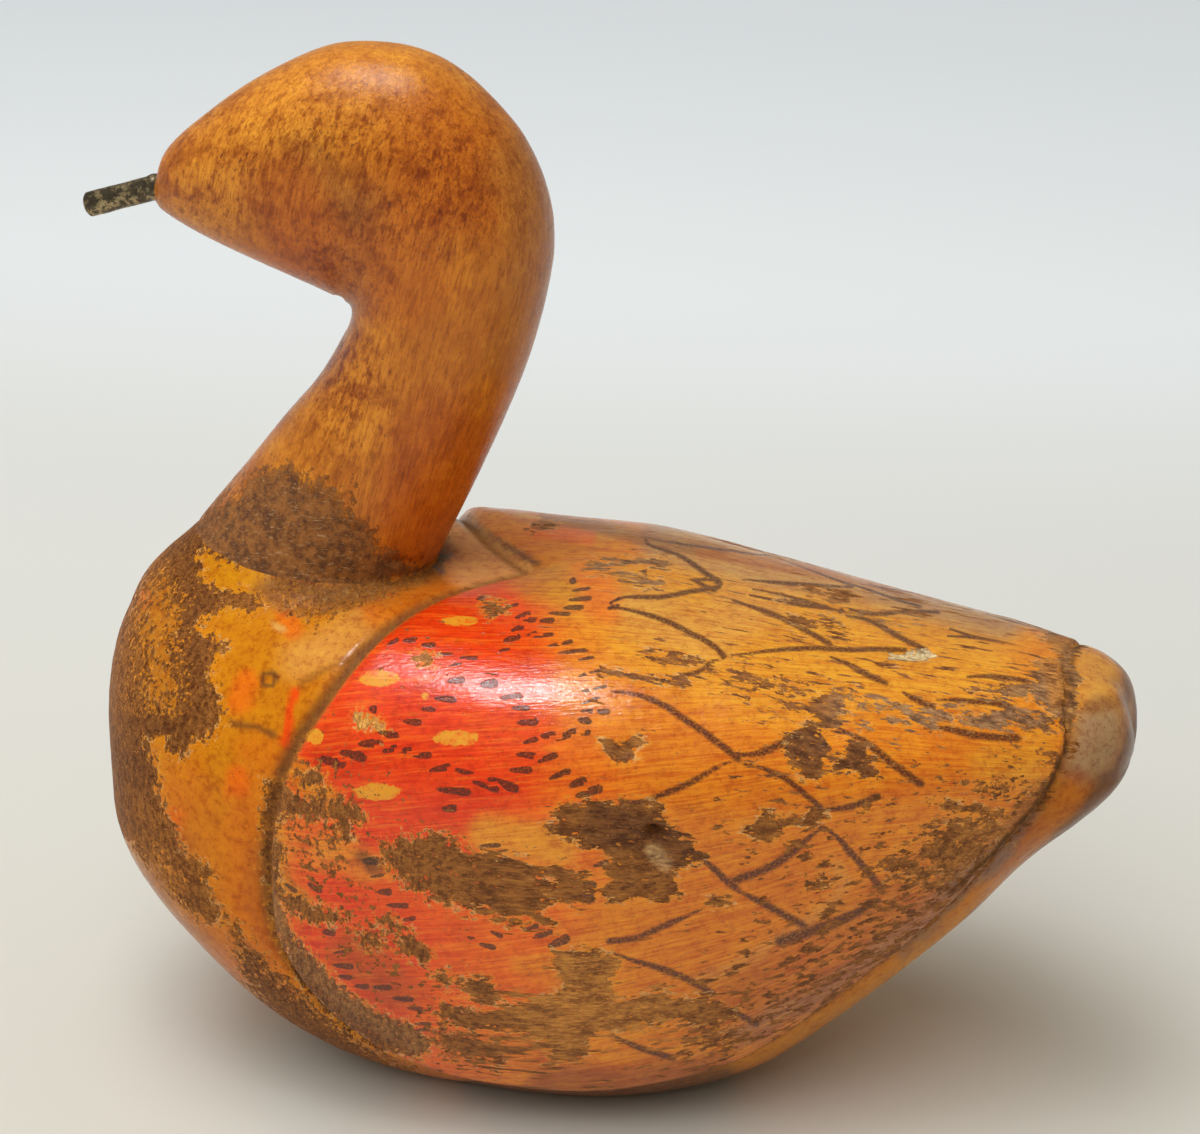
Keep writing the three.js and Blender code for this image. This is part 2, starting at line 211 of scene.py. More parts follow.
@dataclass(frozen=True)
class PhotoView:
    """The camera that the duck is seen through, and where its frame puts a point."""

    azimuth: float = 12.0
    elevation: float = 22.0
    distance: float = 850.0
    target: Point3 = (120.0, 0.0, 127.5)
    frame: tuple[int, int] = (1200, 1134)
    mm_per_pixel: float = 0.2415
    sensor: float = 36.0

    def axes(self) -> tuple[Array, Array, Array]:
        """The frame's right and up directions, and the direction back to the camera.

        Returns:
            Three unit vectors.
        """
        turn, tilt = math.radians(self.azimuth), math.radians(self.elevation)
        back = np.array([math.sin(turn) * math.cos(tilt), -math.cos(turn) * math.cos(tilt), math.sin(tilt)])
        right = np.array([math.cos(turn), math.sin(turn), 0.0])
        return right, np.cross(back, right), back

    def pixels(self, points: Array, fold: bool = True) -> Array:
        """Projects places to pixels, with the duck's right side folded over onto its left.

        Args:
            points: Places in millimetres, of shape (n, 3).
            fold: False leaves the right side where it is.

        Returns:
            Pixel x and y, of shape (n, 2).
        """
        right, up, back = self.axes()
        if fold:
            points = folded(points)
        away = points - (np.array(self.target) + back * self.distance)
        scale = self.distance / self.mm_per_pixel / -(away @ back)
        middle = np.array(self.frame) / 2
        return middle + np.stack([away @ right, -(away @ up)], -1) * scale[:, None]

    def place(self) -> Object:
        """Puts the scene's camera here.

        Returns:
            The camera object.
        """
        right, up, back = self.axes()
        data = bpy.data.cameras.new("photo_view")
        data.sensor_width = self.sensor
        data.lens = self.sensor * self.distance / self.mm_per_pixel / self.frame[0]
        camera = add_object("photo_view", data)
        at = (np.array(self.target) - (ORIGIN_X, 0, 0) + back * self.distance) * MM
        camera.matrix_world = Matrix.Translation(Vector(at)) @ Matrix(np.stack([right, up, back], 1)).to_4x4()
        bpy.context.scene.camera = camera
        return camera


VIEW = PhotoView()


class Paint(Enum):
    """The duck's paints, bare wood and a deep brown for dust and darkening, as plain linear colours."""

    VERMILION = (0.86, 0.046, 0.004)
    RED_LEAD = (0.88, 0.130, 0.006)
    ORANGE = (0.82, 0.245, 0.010)
    DEEP_ORANGE = (0.70, 0.160, 0.007)
    OCHRE = (0.82, 0.350, 0.022)
    YELLOW = (0.64, 0.245, 0.005)
    MUSTARD = (0.64, 0.205, 0.005)
    PALE_OCHRE = (0.74, 0.360, 0.080)
    RUST = (0.42, 0.098, 0.012)
    MAROON = (0.10, 0.026, 0.010)
    OLD_WOOD = (0.30, 0.108, 0.022)
    TAN_WOOD = (0.50, 0.200, 0.040)
    DARK_WOOD = (0.13, 0.046, 0.016)
    PALE_WOOD = (0.60, 0.380, 0.180)
    CREAM_WOOD = (0.72, 0.560, 0.300)
    DEEP_BROWN = (0.09, 0.045, 0.022)
    SLATE = (0.115, 0.125, 0.125)
    GREY_WEAR = (0.40, 0.240, 0.120)
    # Painted light: much lighter than the saddle's tan wood, to lift the shade that the neck casts on it.
    SADDLE_LIGHTENED = (0.86, 0.360, 0.100)
    POLISHED = (0.62, 0.190, 0.014)
    HONEY = (0.76, 0.275, 0.026)
    REDDISH = (0.56, 0.130, 0.008)
    FILLER = (0.38, 0.140, 0.030)


@dataclass(frozen=True)
class Wash:
    """A soft patch of colour along a line of pixels.

    Its middle `reach` pixels are full strength, and it fades out over `fade` pixels more.
    """

    paint: Paint
    strength: float
    reach: float
    fade: float
    line: Line


@dataclass(frozen=True)
class Loss:
    """A patch where paint is worn off, or is left inside such a patch.

    Its edge strays by about `ragged` millimetres.
    """

    ragged: float
    outline: Line


@dataclass(frozen=True)
class BrushLine:
    """A stroke of the brush along pixels, `width` wide, thin where the brush touched down."""

    width: float
    line: Line


def entries(kind: type, heads: int, table: Sequence[Sequence]) -> tuple:
    """Makes a `kind` from each row: its first `heads` values, then pixels, x and y in turn."""
    return tuple(kind(*row[:heads], tuple(zip(row[heads::2], row[heads + 1::2]))) for row in table)


def line_distance(px: Array, line: Line) -> Array:
    """Distance of each pixel from a line of joined segments, or from a single point.

    Args:
        px: Pixels, of shape (n, 2).
        line: The line's corners.

    Returns:
        The distances, in pixels.
    """
    corners = np.array(line if len(line) > 1 else [*line, *line], float)
    best = np.full(len(px), np.inf)
    for start, end in itertools.pairwise(corners):
        best = np.minimum(best, to_segment(px, start, end)[0])
    return best


def outline_distance(px: Array, outline: Line) -> Array:
    """Signed distance of each pixel from a closed outline, negative inside.

    A pixel is inside where a ray to its right crosses the outline an odd number of times.

    Args:
        px: Pixels, of shape (n, 2).
        outline: The outline's corners.

    Returns:
        The distances, in pixels.
    """
    corners = np.array(outline, float)
    inside = np.zeros(len(px), bool)
    for (x0, y0), (x1, y1) in zip(corners, np.roll(corners, -1, 0)):
        spans = (y0 > px[:, 1]) != (y1 > px[:, 1])
        cross = x0 + (px[:, 1] - y0) / ((y1 - y0) or TINY) * (x1 - x0)
        inside ^= spans & (px[:, 0] < cross)
    distance = line_distance(px, (*outline, outline[0]))
    return np.where(inside, -distance, distance)


def smooth_line(line: Line, samples: int, skipped: int = 0) -> Array:
    """Even samples of a smooth curve through points.

    Args:
        line: The points.
        samples: How many samples are taken.
        skipped: How many points at each end only steer the curve.

    Returns:
        The samples, of shape (samples, 2).
    """
    points = np.array(line, float)
    along = run_along(points)
    at = np.linspace(along[skipped], along[-1 - skipped], samples)
    return np.stack([Curve(list(zip(along, points[:, k])))(at) for k in (0, 1)], -1)


def brush_distance(px: Array, strokes: Sequence[BrushLine], steps: int, touch_down: float,
                   grown_by: float) -> Array:
    """How far each pixel is from its nearest stroke, over the stroke's half width there.

    Args:
        px: Pixels, of shape (n, 2).
        strokes: The strokes.
        steps: How many pieces each stroke is cut into.
        touch_down: The share of its width that a stroke has at its start.
        grown_by: How far along the stroke, from 0 to 1, it has its whole width.

    Returns:
        One number for each pixel, below 1 on a stroke.
    """
    best = np.full(len(px), FAR_OFF)
    for stroke in strokes:
        points = smooth_line(stroke.line, steps + 1)
        for k, (start, end) in enumerate(itertools.pairwise(points)):
            away, t = to_segment(px, start, end)
            grown = touch_down + (1 - touch_down) * smooth_step((k + t) / steps, 0, grown_by)
            best = np.minimum(best, away / (stroke.width / 2 * grown))
    return best


def dab_fields(px: Array, dabs: Array) -> Array:
    """Where each pixel lies along and across its nearest dab of the brush.

    Along and across run from -1 to 1 over the dab's length and width. The dab's number and the
    number's square come with them: where a face's corners belong to different dabs, the
    blended square is more than the square of the blended number, which tells that the blended
    along and across mean nothing there.

    Args:
        px: Pixels, of shape (n, 2).
        dabs: Each dab's two ends and its width, of shape (dabs, 5).

    Returns:
        Along, across, number and its square, of shape (n, 4).
    """
    best = np.full(len(px), np.inf)
    fields = np.full((len(px), 4), FAR_OFF)
    for number, (x0, y0, x1, y1, width) in enumerate(dabs):
        middle, half = np.array([x0 + x1, y0 + y1]) / 2, math.hypot(x1 - x0, y1 - y0) / 2
        way = np.array([x1 - x0, y1 - y0]) / (2 * half)
        away = px - middle
        along, across = away @ way, away @ np.array([-way[1], way[0]])
        distance = np.hypot(np.maximum(np.abs(along) - half, 0), across)
        nearer = distance < best
        best = np.where(nearer, distance, best)
        rows = np.stack([along / half, across / (width / 2)], -1)[nearer]
        fields[nearer] = np.concatenate([rows, np.tile((number, number**2), (len(rows), 1))], 1)
    fields[:, :2] = np.clip(fields[:, :2], -1.5 * OUT_OF_SIGHT, 1.5 * OUT_OF_SIGHT)
    return fields


def laid(colour: Array, share: Array, over: Array | Colour) -> Array:
    """Colours with another laid over each, by a share from 0 to 1."""
    return colour + share[:, None] * (np.asarray(over) - colour)


def lay_washes(px: Array, ground: Array | Colour, washes: Sequence[Wash]) -> Array:
    """Lays soft washes of colour over a ground, one after another.

    Args:
        px: Pixels, of shape (n, 2).
        ground: The colour under them all, or one for each pixel.
        washes: The washes, in the order that they were laid.

    Returns:
        Linear colours, of shape (n, 3).
    """
    colour = np.broadcast_to(ground, (len(px), 3)).astype(float)
    for wash in washes:
        faded = smooth_step(line_distance(px, wash.line), wash.reach, wash.reach + wash.fade)
        colour = laid(colour, wash.strength * (1 - faded), wash.paint.value)
    return colour


def wavering_pixels(points: Array, cell: float, seeds: Sequence[int], by: float) -> Array:
    """Pixels of places, moved to and fro by about `by` pixels in patches of `cell` mm."""
    stray = np.stack([layered_noise(points, cell, seed) for seed in seeds], -1)
    return VIEW.pixels(points) + stray * by


def grid_normals(points: Array, core: Array) -> Array:
    """Outward normals of a grid of places whose columns close on themselves.

    Args:
        points: Places, of shape (rows, columns, 3).
        core: A place deep inside, or one for each row.

    Returns:
        Unit normals of the same shape.
    """
    down = np.gradient(points, axis=0)
    around = np.roll(points, -1, 1) - np.roll(points, 1, 1)
    normal = unit(np.cross(down, around))
    return normal * np.sign((normal * (points - core)).sum(-1, keepdims=True))


class ClosedGrid:
    """A closed surface: rows of points that run round, with a fan to one point at each end."""

    def __init__(self, rows: Array, first: Array, final: Array) -> None:
        """Joins rows of places, of shape (rows, columns, 3), and the points at either end."""
        self.shape = rows.shape[:2]
        self.points = np.concatenate([rows.reshape(-1, 3), [first, final]])

    @staticmethod
    def every(values: Array) -> Array:
        """A grid's values for every point: an end takes the first value of the row next to it."""
        return np.concatenate([values.ravel(), values[0, :1], values[-1, :1]])

    def faces(self) -> list[list[int]]:
        """Gives the faces, pointing outwards.

        Returns:
            Each face's corners: four in the grid, three in the end fans.
        """
        rows, columns = self.shape
        here = np.arange(rows * columns).reshape(rows, columns)
        beside = np.roll(here, -1, 1)
        quads = np.stack([here[:-1], beside[:-1], beside[1:], here[1:]], -1).reshape(-1, 4)
        first, final = rows * columns, rows * columns + 1
        fan_in = np.stack([np.full(columns, first), beside[0], here[0]], -1)
        fan_out = np.stack([np.full(columns, final), here[-1], beside[-1]], -1)
        corner = self.points[quads]
        volume = np.einsum("ij,ij->i", corner[:, 0], np.cross(corner[:, 1], corner[:, 2])).sum()
        if volume < 0:
            quads, fan_in, fan_out = (faces[:, ::-1] for faces in (quads, fan_in, fan_out))
        return [*quads.tolist(), *fan_in.tolist(), *fan_out.tolist()]

    def mesh(self, name: str) -> Mesh:
        """Makes the mesh, in metres in the row frame.

        Args:
            name: The mesh's name.

        Returns:
            The mesh, smoothly shaded.
        """
        mesh = bpy.data.meshes.new(name)
        mesh.from_pydata(((self.points - (ORIGIN_X, 0, 0)) * MM).tolist(), [], self.faces())
        mesh.polygons.foreach_set("use_smooth", np.ones(len(mesh.polygons), bool))
        mesh.update()
        return mesh


def store(mesh: Mesh, name: str, *columns: Array) -> None:
    """Keeps values on a mesh's points, for its material to read.

    Args:
        mesh: The mesh.
        name: The attribute's name.
        columns: Arrays with a row for each point, which side by side make three numbers for a
            vector or four for a colour.
    """
    values = np.column_stack(columns)
    colour = values.shape[1] == 4
    attribute = mesh.attributes.new(name, "FLOAT_COLOR" if colour else "FLOAT_VECTOR", "POINT")
    attribute.data.foreach_set("color" if colour else "vector", values.astype(np.float32).ravel())


def show(name: str, mesh: Mesh, material: Material, node: str) -> Object:
    """Puts a finished piece in the scene, in the place of its solid.

    Args:
        name: The piece's name.
        mesh: Its mesh, in the row frame.
        material: Its finish.
        node: The solid that it stands for.

    Returns:
        The piece.
    """
    mesh.materials.append(material)
    piece = add_object(name, mesh)
    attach(piece, "root")
    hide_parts(node)
    log.info("%s: %d points, %d faces", name, len(mesh.vertices), len(mesh.polygons))
    return piece


class Shading:
    """Adds nodes to one shader tree and joins them."""

    def __init__(self, tree: NodeTree) -> None:
        """Keeps the tree that nodes are added to."""
        self.tree = tree

    def feed(self, socket: NodeSocket, value: object) -> None:
        """Joins a socket to another, or sets it.

        Args:
            socket: An input.
            value: An output to join it to, or the value to set.
        """
        if isinstance(value, NodeSocket):
            self.tree.links.new(value, socket)
        else:
            socket.default_value = value

    def node(self, kind: str, feeds: dict | None = None, **settings: object) -> Node:
        """Adds a node.

        Args:
            kind: Its type, without the leading ShaderNode.
            feeds: What goes into its inputs, by name or number.
            settings: Its own properties.

        Returns:
            The node.
        """
        node = self.tree.nodes.new(kind if kind.startswith("NodeGroup") else f"ShaderNode{kind}")
        for key, value in settings.items():
            setattr(node, key, value)
        for key, value in (feeds or {}).items():
            self.feed(node.inputs[key], value)
        return node

    def maths(self, operation: str, *values: object, clamp: bool = False) -> NodeSocket:
        """A Math node's result."""
        feeds = dict(enumerate(values))
        return self.node("Math", feeds, operation=operation, use_clamp=clamp).outputs[0]

    def times(self, first: object, *others: object) -> NodeSocket:
        """The product of values."""
        return functools.reduce(functools.partial(self.maths, "MULTIPLY"), others, first)

    def minus(self, *values: object, clamp: bool = False) -> NodeSocket:
        """The first value less the second."""
        return self.maths("SUBTRACT", *values, clamp=clamp)

    def scale_add(self, *values: object, clamp: bool = False) -> NodeSocket:
        """The product of the first two values, added to the third."""
        return self.maths("MULTIPLY_ADD", *values, clamp=clamp)

    def heaped(self, total: object, *parts: tuple[object, object]) -> NodeSocket:
        """A value with others added to it, each given with its weight."""
        return functools.reduce(lambda so_far, part: self.scale_add(*part, so_far), parts, total)

    def vector(self, operation: str, *values: object) -> NodeSocket:
        """A Vector Math node's result."""
        return self.node("VectorMath", dict(enumerate(values)), operation=operation).outputs[0]

    def mix(self, share: object, a: object, b: object, blend: str = "MIX") -> NodeSocket:
        """A mix of two colours, by a share from 0 to 1."""
        a, b = ((*c, 1.0) if isinstance(c, tuple) and len(c) == 3 else c for c in (a, b))
        node = self.node("Mix", {0: share, 6: a, 7: b}, data_type="RGBA", blend_type=blend)
        return node.outputs[2]

    def product(self, colour: object, by: Colour) -> NodeSocket:
        """A colour multiplied by another."""
        return self.mix(1.0, colour, by, "MULTIPLY")

    def tint(self, share: object, colour: object, by: Colour) -> NodeSocket:
        """A colour multiplied by another, by a share from 0 to 1."""
        return self.mix(share, colour, self.product(colour, by))

    def remap(self, value: object, low: float, high: float, to_low: object = 0.0,
              to_high: object = 1.0) -> NodeSocket:
        """A value smoothly mapped from one range to another, and held inside it."""
        feeds = {0: value, 1: low, 2: high, 3: to_low, 4: to_high}
        return self.node("MapRange", feeds, interpolation_type="SMOOTHSTEP").outputs[0]

    def noise(self, vector: object, scale: object = 1.0, detail: float = 3.0,
              rough: float = 0.55) -> NodeSocket:
        """Noise from 0 to 1 at each place."""
        feeds = {"Vector": vector, "Scale": scale, "Detail": detail, "Roughness": rough}
        return self.node("TexNoise", feeds).outputs[0]

    def toned(self, colour: object, value: object, *tones: tuple) -> NodeSocket:
        """A colour tinted where a value passes limits.

        Args:
            colour: The colour.
            value: The value, as a rule a noise.
            tones: For each tint: the value where it starts and the value where it is full, its
                share there, and the colour that multiplies.

        Returns:
            The tinted colour.
        """
        for start, full, share, by in tones:
            colour = self.tint(self.remap(value, start, full, 0.0, share), colour, by)
        return colour

    def strayed(self, value: object, by: float, noise: NodeSocket) -> NodeSocket:
        """A value moved up and down by noise: value + by * (noise - 0.5)."""
        return self.scale_add(self.minus(noise, 0.5), by, value)

    def stretched(self, place: object, along: object, across: object = 1.0) -> NodeSocket:
        """A place scaled by `along` in x, and by `across` in y and z."""
        scale = self.node("CombineXYZ", {0: along, 1: across, 2: across}).outputs[0]
        return self.vector("MULTIPLY", place, scale)

    def place(self, kind: type, **feeds: object) -> NodeOutputs:
        """The outputs of a shared effect, given its class and what goes into its inputs."""
        return self.node("Group", feeds, node_tree=shared(kind)).outputs

    def split(self, vector: object) -> tuple[NodeSocket, ...]:
        """The three parts of a vector."""
        return tuple(self.node("SeparateXYZ", {0: vector}).outputs)

    def stored(self, name: str) -> Node:
        """The node that reads values kept on the mesh."""
        return self.node("Attribute", attribute_name=name)

    def millimetres(self) -> NodeSocket:
        """Object coordinates in millimetres."""
        place = self.node("TexCoord").outputs["Object"]
        return self.vector("MULTIPLY", place, (1 / MM,) * 3)

    def dress(self, shader: Node, colour: object, rough: object, relief: object) -> None:
        """Gives a BSDF its colour, its roughness and its relief in millimetres.

        Args:
            shader: The BSDF.
            colour: Its base colour.
            rough: Its roughness.
            relief: Its height at each place.
        """
        shape = self.node("Bump", {"Height": relief, "Distance": MM, "Strength": 1.0})
        self.feed(shader.inputs["Base Color"], colour)
        self.feed(shader.inputs["Roughness"], rough)
        self.feed(shader.inputs["Normal"], shape.outputs[0])


class Effect:
    """A shader node group with inputs of given kinds and numbers as outputs."""

    name = "effect"
    inputs: dict[str, str] = {}
    outputs: tuple[str, ...] = ()

    def __init__(self) -> None:
        """Builds the group."""
        self.tree = bpy.data.node_groups.new(self.name, "ShaderNodeTree")
        for label, kind in self.inputs.items():
            self.tree.interface.new_socket(name=label, in_out="INPUT", socket_type=f"NodeSocket{kind}")
        for label in self.outputs:
            self.tree.interface.new_socket(name=label, in_out="OUTPUT", socket_type="NodeSocketFloat")
        s = Shading(self.tree)
        given = s.node("NodeGroupInput").outputs
        s.node("NodeGroupOutput", self.wire(s, given))

    def wire(self, s: Shading, given: NodeOutputs) -> dict:
        """Makes the effect.

        Args:
            s: Adds nodes to the group.
            given: The group's inputs.

        Returns:
            What goes to each output.
        """
        raise NotImplementedError


@functools.cache
def shared(kind: type[Effect]) -> NodeTree:
    """An effect's node group, built when it is first asked for."""
    return kind().tree


class Streaks(Effect):
    """Fine lines along x, as of wood grain or a dry brush."""

    name = "streaks"
    inputs = {"Place": "Vector", "Fineness": "Float", "Stretch": "Float"}
    outputs = ("Value",)

    def wire(self, s: Shading, given: NodeOutputs) -> dict:
        """Noise that is `Stretch` times longer along x, with `Fineness` lines to the millimetre."""
        along = s.maths("DIVIDE", given["Fineness"], given["Stretch"])
        return {"Value": s.noise(s.stretched(given["Place"], along, given["Fineness"]), 1.0, 5.0, 0.62)}


class RaggedEdge(Effect):
    """A mask with a crisp torn edge, from a distance in millimetres that is negative inside."""

    name = "ragged_edge"
    inputs = {"Distance": "Float", "Place": "Vector", "Raggedness": "Float"}
    outputs = ("Mask", "Lip", "Torn")

    def wire(self, s: Shading, given: NodeOutputs) -> dict:
        """Noise moves the edge to and fro; the lip is a thin line just outside it.

        Args:
            s: Adds nodes to the group.
            given: The group's inputs.

        Returns:
            The mask, the lip and the moved distance.
        """
        noise = s.noise(given["Place"], 0.5, 7.0, 0.78)
        moved = s.times(s.minus(noise, 0.5), given["Raggedness"])
        torn = s.scale_add(moved, 20.0, given["Distance"])
        width = s.remap(s.noise(given["Place"], 0.35, 2.0), 0.42, 0.62, 0.15, 1.0)
        inner, outer = s.remap(torn, 0.0, 0.05), s.maths("LESS_THAN", torn, width)
        return {"Mask": s.remap(torn, 0.05, -0.05), "Lip": s.times(inner, outer), "Torn": torn}


class Stroke(Effect):
    """The mask of long brush strokes, from the distance to them over their half width."""

    name = "stroke"
    inputs = {"Distance": "Float", "Place": "Vector", "Dryness": "Float"}
    outputs = ("Mask",)

    def wire(self, s: Shading, given: NodeOutputs) -> dict:
        """The sides waver with noise, and a dry brush leaves gaps along the stroke.

        Args:
            s: Adds nodes to the group.
            given: The group's inputs.

        Returns:
            The mask.
        """
        wide = s.strayed(given["Distance"], 0.8, s.noise(given["Place"], 0.8, 4.0, 0.6))
        dry = s.noise(given["Place"], 1.6, 5.0, 0.7)
        kept = s.remap(dry, 0.62, 0.48, s.minus(1.0, given["Dryness"]), 1.0)
        return {"Mask": s.times(s.remap(wide, 1.3, 0.35), kept)}


class Dab(Effect):
    """The mask of short dabs, pointed where the brush touched down and blunt where it left."""

    name = "dab"
    inputs = {"Fields": "Vector", "Squared": "Float", "Place": "Vector", "Dryness": "Float"}
    outputs = ("Mask",)

    def wire(self, s: Shading, given: NodeOutputs) -> dict:
        """Inside where (across / width)^2 + along^4 < 1, with width growing along the dab.

        Args:
            s: Adds nodes to the group.
            given: The group's inputs.

        Returns:
            The mask.
        """
        along, across, number = s.split(given["Fields"])
        width = s.scale_add(along, 0.34, 1.08)
        sides = s.maths("POWER", s.maths("DIVIDE", across, width), 2.0)
        shape = s.maths("ADD", sides, s.maths("POWER", along, 4.0))
        shape = s.strayed(shape, 1.7, s.noise(given["Place"], 1.3, 4.0, 0.65))
        gap = s.minus(given["Squared"], s.times(number, number))
        whole = s.maths("LESS_THAN", gap, 0.02)
        dry = s.noise(given["Place"], 2.0, 5.0, 0.7)
        kept = s.remap(dry, 0.62, 0.46, s.minus(1.0, given["Dryness"]), 1.0)
        return {"Mask": s.times(s.remap(shape, 1.25, 0.75), whole, kept)}


class Specks(Effect):
    """Scattered specks: the share of the surface that they cover is `Cover`."""

    name = "specks"
    inputs = {"Place": "Vector", "Fineness": "Float", "Cover": "Float"}
    outputs = ("Mask",)

    def wire(self, s: Shading, given: NodeOutputs) -> dict:
        """The peaks of a noise, with soft sides."""
        value = s.noise(given["Place"], given["Fineness"], 3.0, 0.6)
        above = s.minus(value, s.minus(0.74, s.times(given["Cover"], 0.3)))
        return {"Mask": s.remap(above, -0.02, 0.04)}


def new_material(name: str) -> tuple[Material, Shading, Node]:
    """Makes a material with a Principled BSDF.

    Args:
        name: The material's name.

    Returns:
        The material, its shading helper and its BSDF.
    """
    material = bpy.data.materials.new(name)
    material.use_nodes = True
    shader = material.node_tree.nodes["Principled BSDF"]
    return material, Shading(material.node_tree), shader


@dataclass(frozen=True)
class OldPaint:
    """Waxed old paint, brushed on over bare wood and worn through to it."""

    name: str = "old_paint"
    stroke: Colour = (0.088, 0.022, 0.009)
    dab: Colour = (0.040, 0.018, 0.010)
    oval: Paint = Paint.OCHRE
    thinned: Colour = (0.86, 0.300, 0.016)
    streaked: Colour = (0.86, 0.260, 0.012)
    hair: Colour = (0.30, 0.20, 0.25)
    dry_brushed: Colour = (0.70, 0.290, 0.030)
    dry_share: float = 0.55
    # The pale lip round each loss: paler paint at the torn edge, with a painted highlight on that edge.
    lip: Colour = (0.80, 0.440, 0.150)
    thinned_share: float = 0.75
    stroke_share: float = 0.96
    dab_share: float = 0.9
    lip_share: float = 0.7
    dust_share: float = 0.6
    thickness: float = 0.11
    gloss: float = 0.21
    shine: float = 0.48
    dull: float = 0.50
    breast_shine: float = 0.33
    fibrous_from: float = -70.0
    fibrous_to: float = -10.0

    def make(self) -> Material:
        """Wires the material.

        Returns:
            The material. It reads the colours and masks that BodyPaint keeps on the points.
        """
        material, s, shader = new_material(self.name)
        place = s.millimetres()
        flowing = s.stored("flow").outputs["Vector"]
        darkening = s.split(flowing)[2]
        flow = s.vector("MULTIPLY", flowing, (1.0, 1.0, 0.0))
        painted, bared, masks, dabs = (s.stored(name).outputs for name in ("paint", "bare", "masks", "dabs"))
        wing, wear = painted["Alpha"], bared["Alpha"]
        loss, raggedness, oval = s.split(masks["Vector"])
        bands = s.place(Streaks, Place=flow, Fineness=0.55, Stretch=11.0)["Value"]
        brush = s.place(Streaks, Place=flow, Fineness=1.5, Stretch=16.0)["Value"]
        hairs = s.place(Streaks, Place=flow, Fineness=3.4, Stretch=26.0)["Value"]
        patches = s.noise(s.vector("MULTIPLY", flow, (0.05, 0.12, 0.0)), 1.0, 4.0, 0.6)
        fibrous = s.remap(s.split(place)[0], self.fibrous_from, self.fibrous_to)

        torn_place, fleck_place, left_place, wood_place = (
            s.stretched(place, s.scale_add(fibrous, behind - ahead, ahead), across)
            for ahead, behind, across in (
                (1.1, 0.32, 1.0), (0.38, 0.075, 0.6), (0.9, 0.35, 0.9), (4.0, 1.0, 1.0)))
        edge = s.place(RaggedEdge, Distance=loss, Place=torn_place, Raggedness=raggedness)

        paint = self.mottled(s, painted["Color"], place, s.scale_add(wing, -0.15, 0.7))
        paint = self.brushed(s, paint, wing, bands, brush)
        thin = s.times(s.remap(edge["Torn"], 1.9, 0.2), s.remap(s.noise(place, 0.7, 4.0), 0.40, 0.54),
                       self.thinned_share)
        paint = s.mix(thin, paint, self.thinned)
        worn_hairs = s.times(s.remap(hairs, 0.56, 0.66), s.remap(patches, 0.40, 0.62),
                             s.scale_add(wear, 0.9, 0.1))
        paint = s.tint(worn_hairs, paint, self.hair)
        dry = s.times(s.remap(hairs, 0.42, 0.33), s.remap(patches, 0.55, 0.40), wing, self.dry_share)
        paint = s.mix(dry, paint, self.dry_brushed)

        wavy = s.strayed(oval, 0.9, s.noise(place, 0.7, 4.0, 0.65))
        patchy = s.remap(s.noise(place, 0.5, 4.0, 0.7), 0.66, 0.46, 0.25, 0.92)
        paint = s.mix(s.times(s.remap(wavy, 1.06, 0.92), patchy), paint, self.oval.value)
        stroke = s.place(Stroke, Distance=masks["Alpha"], Place=flow, Dryness=0.5)["Mask"]
        paint = s.mix(s.times(stroke, self.stroke_share), paint, self.stroke)
        dab = s.place(Dab, Fields=dabs["Vector"], Squared=dabs["Alpha"], Place=flow, Dryness=0.45)["Mask"]
        paint = s.mix(s.times(dab, self.dab_share), paint, self.dab)

        flecks = s.place(Specks, Place=fleck_place, Fineness=1.0, Cover=wear)["Mask"]
        kept = s.remap(raggedness, 0.6, 2.4, 0.28, 0.62)
        left = s.place(Specks, Place=left_place, Fineness=1.0, Cover=kept)["Mask"]
        left = s.times(left, s.remap(edge["Torn"], -8.0, -0.5, 0.35, 1.0))
        flaked = s.maths("MAXIMUM", s.minus(edge["Mask"], left, clamp=True), flecks)
        # Pale lip just outside each torn edge: paler paint, with a painted highlight on the edge.
        lip = s.times(edge["Lip"], s.remap(s.noise(place, 0.5, 3.0), 0.45, 0.54))
        paint = s.mix(s.times(lip, self.lip_share), paint, self.lip)
        colour = s.mix(flaked, paint, self.bare_wood(s, bared["Color"], wood_place))
        dust = s.place(Specks, Place=place, Fineness=1.3, Cover=0.24)["Mask"]
        colour = s.mix(s.times(dust, self.dust_share), colour, Paint.DEEP_BROWN.value)
        # The paint is darker and duller in the seam, the crevice at the foot and the groove.
        darkened = s.times(darkening, s.remap(s.noise(place, 0.4, 4.0, 0.65), 0.3, 0.6, 0.6, 1.0))
        colour = s.mix(darkened, colour, Paint.DEEP_BROWN.value)

        dulled = s.maths("MAXIMUM", darkening, s.times(flaked, 0.5), clamp=True)
        waxed = s.scale_add(wing, 1 - self.breast_shine, self.breast_shine)
        s.feed(shader.inputs["Specular IOR Level"], s.times(waxed, s.minus(1.0, dulled), self.shine))
        rough = s.scale_add(flaked, self.dull - self.gloss, self.gloss)
        rough = s.strayed(rough, 0.30, s.noise(place, 0.5, 5.0, 0.7))
        relief = s.heaped(
            s.times(s.minus(1.0, flaked), self.thickness),
            (brush, s.scale_add(wing, 0.045, 0.01)), (hairs, s.scale_add(wing, 0.012, 0.004)),
            (s.noise(place, 0.7, 3.0, 0.55), 0.07), (s.noise(s.stretched(flow, 0.3), 1.5, 2.0, 0.5), 0.08),
            (s.times(hairs, flaked), 0.08), (dab, 0.03))
        s.dress(shader, colour, s.scale_add(darkening, 0.7, rough, clamp=True), relief)
        return material

